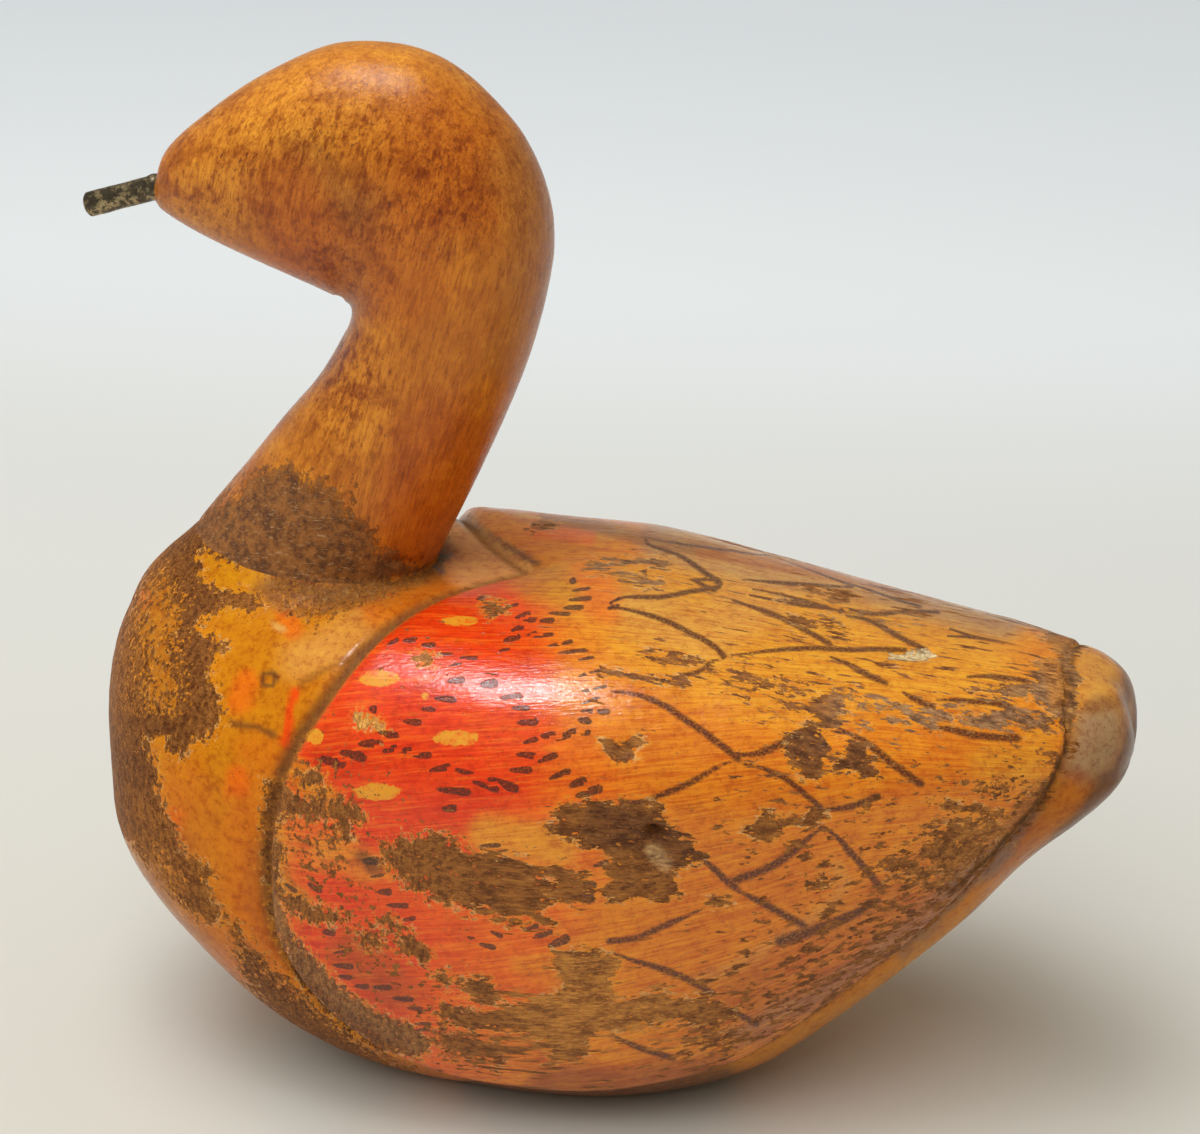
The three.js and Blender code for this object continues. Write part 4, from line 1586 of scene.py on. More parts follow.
    # Middle, half length and half height of each yellow oval.
    ovals: tuple[tuple[float, ...], ...] = (
        (379, 678, 21, 8.5), (456, 738, 23, 8), (377, 792, 24, 8.5), (315, 737, 9, 8),
        (460, 621, 19, 5), (425, 696, 4, 4),
    )
    losses: tuple[Loss, ...] = entries(Loss, 1, (
        # The breast, the fillet under the neck and the band below the wing.
        (0.8, 60, 480, 212, 505, 203, 549, 199, 557, 200, 575, 216, 590, 248, 592, 262, 603, 250, 612,
         224, 604, 204, 620, 190, 627, 192, 633, 212, 635, 229, 645, 221, 650, 208, 673, 215, 682, 218,
         702, 225, 713, 217, 728, 209, 738, 187, 742, 182, 757, 172, 755, 164, 736, 145, 740, 152, 757,
         162, 801, 173, 826, 184, 855, 201, 861, 215, 877, 202, 880, 213, 899, 229, 921, 207, 921, 186,
         908, 168, 888, 150, 864, 128, 840, 60, 840),
        (1.9, 190, 500, 202, 552, 222, 555, 262, 562, 272, 576, 288, 602, 312, 616, 340, 606, 363, 598,
         399, 583, 436, 556, 448, 540, 430, 510, 300, 500),
        (1.4, 232, 925, 252, 948, 278, 975, 306, 999, 334, 1022, 362, 1043, 396, 1062, 430, 1078, 430,
         1100, 380, 1090, 330, 1064, 290, 1034, 262, 1004, 244, 975),
        # The front of the wing.
        (0.8, 267, 782, 286, 786, 292, 797, 306, 801, 326, 795, 324, 813, 326, 822, 315, 820, 297, 814,
         286, 813, 274, 827, 276, 838, 285, 850, 280, 866, 276, 872, 282, 893, 300, 899, 318, 906, 334,
         912, 346, 921, 334, 924, 312, 921, 300, 916, 284, 908, 276, 898, 268, 880, 265, 830),
        (0.6, 301, 774, 312, 770, 323, 775, 321, 786, 306, 785),
        (0.5, 270, 890, 277, 893, 284, 915, 293, 936, 313, 958, 338, 985, 362, 1004, 392, 1019, 424, 1031,
         430, 1048, 420, 1060, 376, 1047, 326, 1010, 299, 980, 283, 944, 268, 905),
        (0.5, 353, 716, 360, 712, 368, 719, 379, 719, 385, 731, 372, 728, 358, 727),
        (0.6, 415, 656, 426, 652, 435, 657, 431, 665, 418, 664),
        (0.8, 482, 605, 494, 600, 507, 606, 503, 615, 487, 614),
        (0.6, 336, 797, 347, 806, 367, 815, 363, 823, 352, 821, 350, 830, 354, 840, 340, 838, 338, 822,
         327, 815),
        (1.0, 381, 849, 400, 840, 426, 835, 442, 837, 456, 841, 468, 851, 485, 848, 501, 856, 523, 863,
         542, 872, 570, 882, 594, 893, 594, 904, 570, 903, 544, 900, 546, 914, 552, 924, 525, 921, 497,
         916, 470, 911, 456, 906, 435, 900, 430, 893, 414, 888, 404, 879, 393, 872, 385, 862),
        (0.8, 359, 934, 372, 934, 382, 942, 378, 949, 364, 946),
        (0.9, 400, 938, 413, 934, 430, 952, 431, 962, 412, 958, 398, 950),
        (0.8, 378, 920, 392, 918, 401, 928, 396, 932, 384, 929),
        (0.9, 461, 978, 476, 977, 490, 986, 497, 1000, 486, 1003, 466, 996),
        (0.8, 434, 976, 446, 975, 453, 983, 444, 986),
        (0.7, 553, 950, 594, 950, 618, 960, 614, 980, 604, 992, 616, 1000, 640, 999, 660, 994, 690, 999,
         712, 997, 736, 1012, 719, 1025, 682, 1018, 659, 1020, 632, 1029, 596, 1031, 590, 1044, 584, 1060,
         548, 1062, 552, 1040, 528, 1034, 505, 1030, 470, 1030, 436, 1012, 445, 1006, 490, 1012, 526,
         1006, 545, 996, 563, 985, 556, 965),
        (1.2, 426, 1030, 480, 1036, 505, 1052, 500, 1062, 470, 1058, 440, 1048),
        # Round the knot hole.
        (0.8, 544, 827, 552, 819, 557, 809, 571, 801, 607, 803, 640, 803, 662, 809, 660, 819, 671, 826,
         697, 840, 695, 846, 707, 858, 691, 860, 677, 870, 677, 892, 667, 900, 634, 895, 624, 898, 607,
         905, 599, 891, 609, 880, 607, 866, 609, 858, 599, 850, 581, 844, 560, 836),
        (0.9, 542, 870, 560, 864, 575, 872, 594, 884, 592, 893, 560, 890),
        # The side and top of the wing.
        (0.4, 598, 740, 611, 739, 628, 741, 630, 735, 642, 736, 644, 742, 634, 748, 636, 762, 626, 765,
         611, 758, 605, 750),
        (0.7, 640, 652, 663, 655, 686, 656, 704, 661, 699, 664, 682, 665, 669, 664, 660, 659, 650, 656),
        (0.8, 602, 668, 625, 672, 638, 676, 657, 677, 684, 677, 684, 685, 663, 685, 634, 683, 625, 678,
         602, 676),
        (2.0, 709, 666, 734, 671, 768, 679, 803, 690, 782, 690, 757, 687, 734, 681, 715, 674),
        (0.7, 600, 560, 612, 557, 625, 556, 640, 561, 646, 569, 650, 576, 663, 581, 657, 587, 642, 586,
         625, 579, 610, 574, 584, 568, 586, 560),
        (0.6, 772, 591, 780, 590, 789, 594, 805, 602, 791, 602, 780, 598),
        (1.0, 791, 617, 803, 616, 812, 620, 824, 616, 838, 622, 846, 631, 837, 633, 830, 636, 826, 628,
         810, 627, 795, 623),
        (2.0, 818, 585, 845, 597, 871, 604, 894, 607, 907, 612, 899, 616, 876, 611, 854, 607, 839, 601),
        (1.0, 782, 703, 807, 704, 822, 697, 839, 691, 857, 692, 856, 696, 845, 697, 843, 712, 830, 716,
         837, 724, 833, 730, 824, 731, 822, 741, 824, 752, 832, 765, 841, 760, 845, 749, 853, 739, 868,
         745, 864, 752, 872, 764, 874, 775, 866, 779, 858, 772, 839, 771, 824, 769, 818, 779, 801, 776,
         795, 762, 789, 752, 788, 741, 805, 729, 818, 720, 810, 712, 791, 708),
        (0.5, 744, 831, 742, 824, 756, 825, 764, 811, 781, 817, 805, 819, 814, 811, 816, 803, 826, 809,
         826, 819, 805, 825, 781, 825, 775, 835, 768, 840, 756, 840),
        (0.5, 707, 902, 716, 896, 734, 899, 732, 905, 714, 906),
        (1.0, 810, 880, 822, 875, 830, 884, 824, 891, 812, 889),
        # The rear of the wing.
        (1.2, 850, 707, 888, 709, 936, 711, 984, 713, 1018, 707, 1051, 717, 1064, 727, 1034, 727, 1003,
         726, 974, 725, 946, 721, 913, 719, 879, 713),
        (1.0, 968, 692, 984, 688, 1003, 685, 1028, 687, 1028, 697, 1012, 698, 984, 694),
        (0.9, 1051, 632, 1072, 640, 1076, 667, 1076, 713, 1064, 727, 1051, 713, 1034, 701, 1030, 690,
         1034, 675, 1041, 663, 1057, 656),
        (0.7, 854, 721, 862, 720, 873, 726, 871, 730, 857, 728),
        (0.8, 932, 802, 950, 804, 974, 806, 1001, 811, 1003, 817, 974, 814, 946, 810),
        (1.6, 969, 786, 1000, 788, 1034, 794, 1020, 797, 990, 793),
        (1.4, 928, 828, 951, 822, 1003, 820, 999, 837, 984, 847, 974, 861, 948, 867, 926, 860),
        (1.6, 884, 866, 905, 858, 930, 868, 952, 876, 944, 884, 915, 878, 893, 880),
        (1.4, 700, 1030, 730, 1030, 748, 1040, 720, 1050, 690, 1046),
    ))
    # Paint that is left inside a loss.
    remnants: tuple[Loss, ...] = entries(Loss, 1, (
        (2.2, 148, 590, 160, 588, 170, 604, 173, 630, 168, 655, 172, 690, 162, 706, 150, 692, 154, 650,
         146, 620),
        (2.4, 148, 862, 158, 860, 180, 905, 176, 912, 156, 885),
        (1.0, 290, 588, 330, 584, 380, 580, 392, 588, 340, 598, 292, 600),
        (0.8, 590, 1044, 612, 1040, 628, 1050, 620, 1070, 596, 1070),
        (0.6, 602, 567, 625, 563, 638, 569, 647, 577, 638, 577, 612, 570),
        (0.9, 834, 742, 844, 737, 849, 743, 839, 761, 828, 754, 824, 743),
    ))
    wing_washes: tuple[Wash, ...] = entries(Wash, 4, (
        (Paint.OCHRE, 0.85, 26, 70, 560, 540, 700, 606, 860, 640, 960, 660),
        (Paint.OCHRE, 0.6, 12, 40, 640, 640, 740, 690, 830, 700),
        (Paint.PALE_OCHRE, 0.45, 8, 40, 640, 610, 700, 640, 760, 600),
        (Paint.DEEP_ORANGE, 0.45, 40, 90, 680, 800, 780, 850, 700, 960),
        (Paint.RED_LEAD, 0.8, 50, 95, 440, 610, 470, 740, 430, 900, 520, 800, 430, 1000),
        (Paint.VERMILION, 0.95, 50, 85, 420, 660, 360, 760, 430, 790, 380, 900, 350, 990),
        (Paint.VERMILION, 0.7, 14, 45, 500, 590, 520, 720, 500, 800),
        (Paint.RED_LEAD, 0.6, 8, 26, 575, 556, 596, 575, 600, 600),
        (Paint.RUST, 0.55, 10, 30, 350, 950, 380, 975, 400, 990),
        (Paint.RED_LEAD, 0.5, 10, 45, 400, 880, 480, 940, 440, 1010, 520, 960),
        (Paint.OCHRE, 0.75, 8, 22, 490, 838, 530, 842, 560, 848),
        (Paint.OCHRE, 0.6, 6, 22, 328, 850, 350, 858, 372, 868),
        (Paint.YELLOW, 0.7, 3, 12, 276, 816, 274, 850, 280, 886, 302, 900),
        (Paint.YELLOW, 0.7, 5, 14, 292, 770, 310, 790, 326, 796),
        (Paint.YELLOW, 0.65, 8, 22, 532, 578, 560, 584),
        (Paint.DARK_WOOD, 0.7, 4, 9, 364, 858, 374, 869),
        (Paint.DEEP_ORANGE, 0.7, 5, 16, 500, 1044, 560, 1064, 620, 1076),
        (Paint.RUST, 0.85, 8, 18, 540, 1084, 640, 1084, 720, 1072),
        (Paint.ORANGE, 0.7, 5, 14, 525, 965, 565, 972),
        (Paint.RUST, 0.5, 14, 45, 730, 1010, 800, 985, 850, 950, 930, 900),
        (Paint.DEEP_ORANGE, 0.35, 8, 30, 790, 965, 850, 950),
        (Paint.PALE_OCHRE, 0.35, 2, 8, 836, 861, 848, 882, 832, 907, 799, 930, 758, 955, 731, 971, 701,
         980),
        (Paint.DEEP_ORANGE, 0.5, 14, 40, 960, 740, 1010, 745, 930, 780),
        (Paint.OCHRE, 0.6, 8, 24, 1040, 745, 1030, 770, 990, 760),
        (Paint.TAN_WOOD, 0.5, 5, 22, 860, 595, 1000, 625),
        (Paint.DARK_WOOD, 0.6, 4, 16, 1047, 790, 1018, 818, 985, 848, 950, 884),
        (Paint.SLATE, 0.4, 4, 14, 1000, 845, 960, 885, 880, 952, 800, 1005, 740, 1040),
    ))
    # Where the far side shows over the back, in pixels that are not folded over.
    far_washes: tuple[Wash, ...] = entries(Wash, 4, (
        (Paint.OCHRE, 0.7, 20, 30, 480, 520, 600, 545),
        (Paint.DEEP_ORANGE, 0.6, 8, 22, 530, 546, 580, 552, 640, 566),
        (Paint.GREY_WEAR, 0.7, 10, 24, 660, 540, 760, 560, 900, 590, 1000, 620),
        (Paint.PALE_OCHRE, 0.6, 8, 20, 690, 548, 760, 556, 860, 575),
        (Paint.OLD_WOOD, 0.75, 3, 8, 545, 521, 600, 527, 650, 540, 720, 552),
        (Paint.RUST, 0.6, 3, 7, 701, 552, 793, 568, 861, 580, 900, 589),
        (Paint.RED_LEAD, 0.75, 3, 8, 534, 531, 560, 533, 589, 538),
        # Painted light on the saddle behind the neck, lifting the neck's shade.
        (Paint.SADDLE_LIGHTENED, 0.95, 8, 12, 440, 515, 470, 540, 520, 568),
        # Painted shadow: a thin dark line in the crease along the wings' top front edge, behind the neck.
        (Paint.DARK_WOOD, 0.85, 1, 6, 455, 517, 480, 530, 505, 546, 538, 565),
        (Paint.PALE_OCHRE, 0.6, 0, 3, 456, 522, 480, 536, 505, 552, 534, 569),
    ))
    body_washes: tuple[Wash, ...] = entries(Wash, 4, (
        (Paint.MUSTARD, 1.0, 60, 60, 230, 600, 220, 800, 250, 900),
        (Paint.YELLOW, 0.8, 16, 30, 222, 562, 240, 580, 262, 570),
        (Paint.YELLOW, 0.3, 14, 34, 232, 620, 250, 660, 235, 690),
        (Paint.OLD_WOOD, 0.35, 14, 20, 155, 600, 162, 640, 158, 700),
        (Paint.OLD_WOOD, 0.5, 8, 24, 132, 850, 160, 895, 205, 948, 280, 1010),
        (Paint.YELLOW, 0.55, 10, 30, 215, 780, 210, 860),
        (Paint.DEEP_ORANGE, 0.5, 14, 40, 190, 790, 215, 890, 250, 950),
        (Paint.DEEP_ORANGE, 0.6, 12, 24, 262, 760, 250, 840, 262, 920, 296, 975),
        (Paint.RUST, 0.5, 5, 16, 172, 830, 190, 850),
        (Paint.RUST, 0.45, 5, 16, 256, 850, 256, 900, 272, 950),
        (Paint.RED_LEAD, 0.6, 6, 14, 246, 682, 243, 704),
        (Paint.RED_LEAD, 0.6, 4, 12, 288, 617, 290, 626),
        (Paint.RED_LEAD, 0.65, 4, 12, 237, 779, 237, 790),
        (Paint.RED_LEAD, 0.55, 4, 12, 365, 603, 373, 606),
        (Paint.RED_LEAD, 0.5, 3, 10, 142, 596, 144, 602),
        (Paint.RED_LEAD, 0.5, 3, 12, 176, 812, 174, 832),
        (Paint.VERMILION, 0.85, 3, 6, 296, 696, 288, 720, 280, 741),
        (Paint.PALE_OCHRE, 0.5, 8, 28, 300, 660, 345, 640, 370, 615),
        (Paint.PALE_OCHRE, 0.9, 2, 5, 275, 626, 279, 628),
        (Paint.DARK_WOOD, 0.8, 1, 3, 262, 674, 270, 670, 277, 677, 274, 685, 264, 684, 262, 674),
        (Paint.DARK_WOOD, 0.7, 1, 4, 234, 724, 252, 728, 269, 736),
        (Paint.OLD_WOOD, 0.8, 8, 16, 272, 592, 330, 596, 400, 586, 430, 580),
        (Paint.MAROON, 0.45, 1, 6, 303, 686, 340, 665, 385, 640),
        (Paint.DEEP_ORANGE, 0.7, 8, 16, 380, 612, 430, 596, 470, 575),
        # Painted light on the saddle behind the neck, lifting the neck's shade.
        (Paint.SADDLE_LIGHTENED, 0.95, 22, 26, 480, 555, 505, 575, 470, 540, 520, 560),
        # Darker along the crevice at the neck's foot.
        (Paint.DARK_WOOD, 0.9, 5, 10, 395, 566, 420, 560, 436, 556),
        (Paint.SLATE, 0.85, 3, 6, 450, 538, 444, 552, 439, 564),
        (Paint.RUST, 0.45, 30, 60, 420, 1085, 640, 1095, 800, 1035),
        (Paint.DEEP_ORANGE, 0.4, 10, 30, 381, 1076, 500, 1084, 600, 1090),
        (Paint.OCHRE, 0.35, 6, 16, 700, 1080, 850, 1012, 960, 930),
        (Paint.PALE_OCHRE, 0.6, 16, 22, 1095, 672, 1108, 690, 1090, 700),
        # Painted shade along the belly's underside, just above the floor.
        (Paint.DARK_WOOD, 0.8, 14, 26, 480, 1096, 640, 1096, 720, 1088),
        (Paint.GREY_WEAR, 0.9, 12, 24, 1102, 725, 1088, 765),
        (Paint.RUST, 0.6, 8, 18, 1078, 785, 1050, 810, 1000, 860),
        (Paint.OLD_WOOD, 0.6, 3, 8, 1084, 708, 1104, 704, 1130, 700),
        (Paint.DARK_WOOD, 0.85, 6, 14, 1120, 648, 1138, 690, 1140, 730, 1122, 775, 1060, 850, 980, 930),
        (Paint.SLATE, 0.6, 4, 12, 1030, 806, 985, 866, 900, 945),
    ))
    bare_washes: tuple[Wash, ...] = entries(Wash, 4, (
        (Paint.DARK_WOOD, 0.5, 10, 40, 185, 700, 150, 760, 200, 560),
        (Paint.DARK_WOOD, 0.65, 12, 26, 640, 830, 600, 820, 700, 850),
        (Paint.DARK_WOOD, 0.6, 10, 30, 800, 740, 860, 770),
        (Paint.DARK_WOOD, 0.5, 10, 30, 260, 960, 310, 1010, 360, 1050),
        (Paint.TAN_WOOD, 0.9, 30, 50, 560, 1000, 640, 1010),
        (Paint.PALE_OCHRE, 0.95, 14, 8, 360, 720, 376, 726),
        (Paint.TAN_WOOD, 0.8, 12, 8, 420, 658, 432, 659),
        (Paint.GREY_WEAR, 0.5, 10, 40, 700, 560, 600, 565, 820, 580),
        (Paint.GREY_WEAR, 0.5, 10, 30, 860, 712, 980, 720, 1060, 700, 1060, 650),
        (Paint.GREY_WEAR, 0.6, 10, 30, 860, 600, 900, 612),
        (Paint.GREY_WEAR, 0.22, 6, 10, 276, 905, 308, 962, 357, 1012, 416, 1040),
        (Paint.TAN_WOOD, 0.35, 16, 30, 940, 845, 980, 835),
        (Paint.RUST, 0.6, 8, 20, 280, 582, 350, 590, 425, 575),
        (Paint.TAN_WOOD, 0.6, 5, 14, 280, 588, 335, 596, 400, 578, 430, 566),
        (Paint.TAN_WOOD, 0.9, 6, 12, 1050, 655, 1062, 700),
        (Paint.PALE_WOOD, 0.5, 3, 9, 668, 868, 655, 850),
    ))
    # Pale wood that the crack laid bare, and the lines along which the foot's crevice and the seam are
    # darkened.
    cream_wood: Line = (
        (888, 653), (903, 655), (910, 649), (925, 647), (938, 656), (924, 661), (907, 661), (888, 659),
    )
    seam: Line = (
        (1062, 640), (1071, 660), (1072, 712), (1065, 750), (1049, 785), (1037, 803), (993, 853),
        (950, 894),
    )
    crevice: Line = ((282, 580), (330, 594), (395, 578), (445, 550))
    # How strong each darkening is, and how far it reaches.
    seam_darkening: Point2 = (0.9, 5.0)
    crevice_darkening: Point2 = (0.55, 24.0)
    groove_darkening: Point2 = (0.5, 2.2)
    # Along this line the paint flakes most.
    flaky: Line = ((310, 790), (320, 870), (370, 950), (440, 1010), (540, 1050))
    flaky_reach: float = 70.0
    # Millimetres beyond the wing's edge of the wing's paint, of the darkening and of the bare groove.
    wing_limits: Point2 = (-0.7, 0.1)
    darkening_middle: float = 1.6
    groove_middle: float = 1.8
    groove_reach: float = 3.2
    groove_bare: float = 0.9
    rim_reach: float = 0.9
    rim_pale: float = 0.5
    # Where the far side's own washes end: millimetres past the middle, and degrees down.
    far_from: Point2 = (-1.0, 4.0)
    far_until: Point2 = (42.0, 56.0)
    dabs_until: float = 50.0

    def loss_fields(self, px: Array) -> tuple[Array, Array]:
        """Where paint is lost, as if outlines were cut out of one another.

        Args:
            px: Pixels, of shape (n, 2).

        Returns:
            Millimetres from the nearest edge of a loss, negative inside it, and how ragged
            that edge is.
        """
        lost, ragged = self.nearest(px, self.losses)
        left, other = self.nearest(px, self.remnants)
        cut = -left > lost
        ragged = np.where(cut, other, ragged)
        return np.clip(np.where(cut, -left, lost) * VIEW.mm_per_pixel, -12, 12), ragged

    @staticmethod
    def nearest(px: Array, patches: Sequence[Loss]) -> tuple[Array, Array]:
        """Signed distance in pixels from the nearest patch, and how ragged that patch is."""
        distances = np.stack([outline_distance(px, patch.outline) for patch in patches])
        which = distances.argmin(0)
        return distances.min(0), np.array([patch.ragged for patch in patches])[which]

    def oval_field(self, px: Array) -> Array:
        """How far out each pixel is from the nearest oval: below 1 inside it."""
        shares = [np.hypot((px[:, 0] - x) / a, (px[:, 1] - y) / b) for x, y, a, b in self.ovals]
        return np.minimum(np.min(shares, 0), 4)

    def darkening(self, px: Array, edge: Array, rear: Array) -> Array:
        """Darkening from 0 to 1 in the seam by the tail, the crevice at the foot and the groove.

        Args:
            px: Pixels, of shape (n, 2).
            edge: Distance from the wing's edge, positive on the wing.
            rear: Share of the rear edge.

        Returns:
            One number for each pixel.
        """
        (seam, seam_reach), (crevice, crevice_reach) = self.seam_darkening, self.crevice_darkening
        groove, groove_reach = self.groove_darkening
        return np.max([
            seam * bump(line_distance(px, self.seam), seam_reach),
            crevice * bump(line_distance(px, self.crevice), crevice_reach),
            groove * bump(edge + self.darkening_middle, groove_reach) * (1 - rear),
        ], axis=0)

    def lay(self, mesh: Mesh, points: Array, edge: Array, rear: Array, degrees: Array) -> None:
        """Keeps the colours and masks that OldPaint reads on the body's points.

        Args:
            mesh: The body's mesh.
            points: Its points in millimetres.
            edge: Distance from the wing's edge, positive on the wing.
            rear: Share of the rear edge.
            degrees: How far down from the middle of the back each point is.
        """
        px, warped = VIEW.pixels(points), wavering_pixels(points, 9.0, (21, 31), 9)
        on_wing = smooth_step(edge, *self.wing_limits)
        colour = lay_washes(warped, Paint.MUSTARD.value, self.body_washes)
        colour = laid(colour, on_wing, lay_washes(warped, Paint.ORANGE.value, self.wing_washes))
        far = lay_washes(VIEW.pixels(points, fold=False), colour, self.far_washes)
        over_back = smooth_step(points[:, 1], *self.far_from) * (1 - smooth_step(degrees, *self.far_until))
        colour = laid(colour, over_back, far)
        in_groove = bump(edge + self.groove_middle, self.groove_reach) * (1 - 0.6 * rear)
        in_groove *= 0.4 + 0.6 * smooth_step(degrees, 12, 40)
        colour = laid(colour, self.groove_bare * in_groove, Paint.OLD_WOOD.value)
        on_rim = bump(edge - self.rim_reach / 3, self.rim_reach) * (1 - rear)
        colour = laid(colour, self.rim_pale * on_rim, Paint.PALE_OCHRE.value)
        store(mesh, "paint", colour, on_wing)

        bare = lay_washes(warped, Paint.OLD_WOOD.value, self.bare_washes)
        cream = smooth_step(-outline_distance(px, self.cream_wood), -1, 1) * (points[:, 1] < 0)
        bare = laid(bare, cream, Paint.CREAM_WOOD.value)
        wear = 0.24 + 0.26 * smooth_step(px[:, 0], 560, 900) + 0.25 * layered_noise(points, 22.0, 51)
        wear += 0.25 * smooth_step(px[:, 0] + 2 * px[:, 1], 2500, 2750) + 0.15 * bump(edge, 5.0)
        wear += 0.40 * bump(line_distance(px, self.flaky), self.flaky_reach)
        store(mesh, "bare", bare, np.clip(wear, 0, 1) * smooth_step(edge, -8, 0))

        loss, ragged = self.loss_fields(px)
        loss = np.where(cream > 0, -3 * cream, loss)
        off_wing = np.where(edge < 0, OUT_OF_SIGHT, 0.0)
        feathers = brush_distance(px, self.feathers, self.feather_steps, self.touch_down, self.grown_by)
        feathers = feathers / self.feather_spread + off_wing
        store(mesh, "masks", loss, ragged, self.oval_field(px), feathers)
        dabs = dab_fields(px, np.reshape(self.dabs, (-1, 5)))
        far_back = np.where((points[:, 1] > 0) & (degrees < self.dabs_until), OUT_OF_SIGHT, 0.0)
        dabs[:, :2] += (off_wing + far_back)[:, None]
        store(mesh, "dabs", dabs)


@dataclass
class HeadAndNeck:
    """Head and neck: sections between paired points of the sawn side outline.

    Each pair is a point of the under edge, the point of the upper edge across from it, and
    the half width there. The pairs turn about the throat.
    """

    pairs: tuple[tuple[float, ...], ...] = (
        (13.2, 212, 13.4, 220, 4.5), (15.4, 210.5, 16.2, 226.6, 8.5), (24.5, 206, 25, 234.6, 14),
        (40.3, 199.8, 39.2, 244.6, 19), (54.5, 194.2, 58.5, 252.8, 22), (59.3, 192, 80, 251, 22.5),
        (60.8, 190.6, 97, 238, 22.5), (60.2, 187.4, 106, 223, 22), (58, 183, 108.5, 206, 21.5),
        (52, 173, 104, 184, 20.5), (43, 162, 97, 165, 20.5), (32, 148, 89, 147, 21.5),
    )
    head_squareness: float = 2.3
    neck_squareness: float = 2.0
    seat: Seat = field(default_factory=Seat)
    forward: Point3 = (-1.0, 0.0, -0.31)
    tip_bulge: float = 0.7
    tip_rings: int = 7
    foot_depths: tuple[float, ...] = (0.8, 1.8, 3.0)
    foot_flare: float = 0.38
    knife_depth: float = 0.14
    grain_depth: float = 0.03
    grain_way: Point3 = (0.28, 0.0, 1.0)
    samples: int = 2000
    rows: int = 300
    columns: int = 270
    dents: tuple[Dent, ...] = (
        Dent((338, 299), 9, 4, 20, 1.1),
        Dent((208, 114), 6, 3, 35, 0.6),
        Dent((400, 562), 30, 7, 0, 0.8),
    )
    washes: tuple[Wash, ...] = entries(Wash, 4, (
        (Paint.HONEY, 0.8, 26, 60, 230, 110, 330, 75, 420, 80),
        (Paint.HONEY, 0.6, 14, 50, 250, 170, 300, 150, 210, 190),
        (Paint.REDDISH, 0.7, 24, 50, 430, 130, 470, 190, 420, 200),
        (Paint.OLD_WOOD, 0.55, 16, 50, 300, 185, 340, 215, 330, 270),
        (Paint.REDDISH, 0.55, 20, 50, 300, 240, 350, 260, 420, 290),
        (Paint.HONEY, 0.5, 16, 40, 360, 360, 350, 430, 290, 450),
        (Paint.TAN_WOOD, 0.45, 14, 40, 520, 170, 540, 260, 520, 360),
        (Paint.REDDISH, 0.7, 22, 40, 420, 530, 420, 490, 440, 440),
        (Paint.REDDISH, 0.7, 14, 40, 280, 188, 305, 200, 300, 250),
    ))
    filler: Line = (
        (190, 560), (196, 520), (240, 480), (270, 474), (300, 473), (330, 482), (350, 500), (375, 530),
        (385, 548), (400, 560), (430, 580), (300, 600), (200, 600),
    )
    # The wood is darker and more speckled near this line.
    speckled: Line = (
        (215, 185), (260, 140), (340, 130), (450, 150), (440, 200), (330, 220), (350, 420),
    )
    speckled_reach: float = 100.0

    def surface(self) -> tuple[Array, Array]:
        """Works out the surface: a superellipse across each pair, run smoothly from pair to pair.

        Returns:
            Places of shape (rows, columns, 3), and how far down from the bill each row is.
        """
        pairs = [*self.pairs, (*self.seat.front, *self.seat.back, self.seat.half_width)]
        index = np.arange(len(pairs))
        under_x, under_z, over_x, over_z, half = (
            Curve(list(zip(index, column))) for column in zip(*pairs))
        fine = np.linspace(0, index[-1], self.samples)
        middle = np.stack([under_x(fine) + 2 * over_x(fine), under_z(fine) + 2 * over_z(fine)], -1) / 3
        along = run_along(middle)
        s = np.interp(np.linspace(0, along[-1], self.rows), along, fine)[:, None]
        turn = np.linspace(0, 2 * math.pi, self.columns, endpoint=False)[None]
        power = 2 / (self.head_squareness + (self.neck_squareness - self.head_squareness) * s / index[-1])
        to_over = (1 + np.sign(np.cos(turn)) * np.abs(np.cos(turn)) ** power) / 2
        x = under_x(s) + (over_x(s) - under_x(s)) * to_over
        z = under_z(s) + (over_z(s) - under_z(s)) * to_over
        y = half(s) * np.sign(np.sin(turn)) * np.abs(np.sin(turn)) ** power
        return np.stack([x, y, z], -1), s[:, 0]

    def ends(self, rows: Array) -> tuple[Array, Array]:
        """Extra rows: a round end over the pin's hole, and a foot set into the body.

        Args:
            rows: The surface's rows.

        Returns:
            Rows before the first, and rows after the last.
        """
        tip, foot = rows[0].mean(0), rows[-1].mean(0)
        theta = np.linspace(math.pi / 2, 0, self.tip_rings + 1)[1:-1, None, None]
        before = tip + (rows[0] - tip) * np.cos(theta) ** 0.7 + self.bulge() * np.sin(theta)
        depth = np.array(self.foot_depths)[:, None, None]
        flare = 1 + self.foot_flare * depth / self.seat.half_width
        return before, foot + (rows[-1] - foot) * flare - self.seat.normal() * depth

    def bulge(self) -> Array:
        """How far the round end stands out over the pin's hole."""
        return unit(np.array(self.forward)) * self.tip_bulge

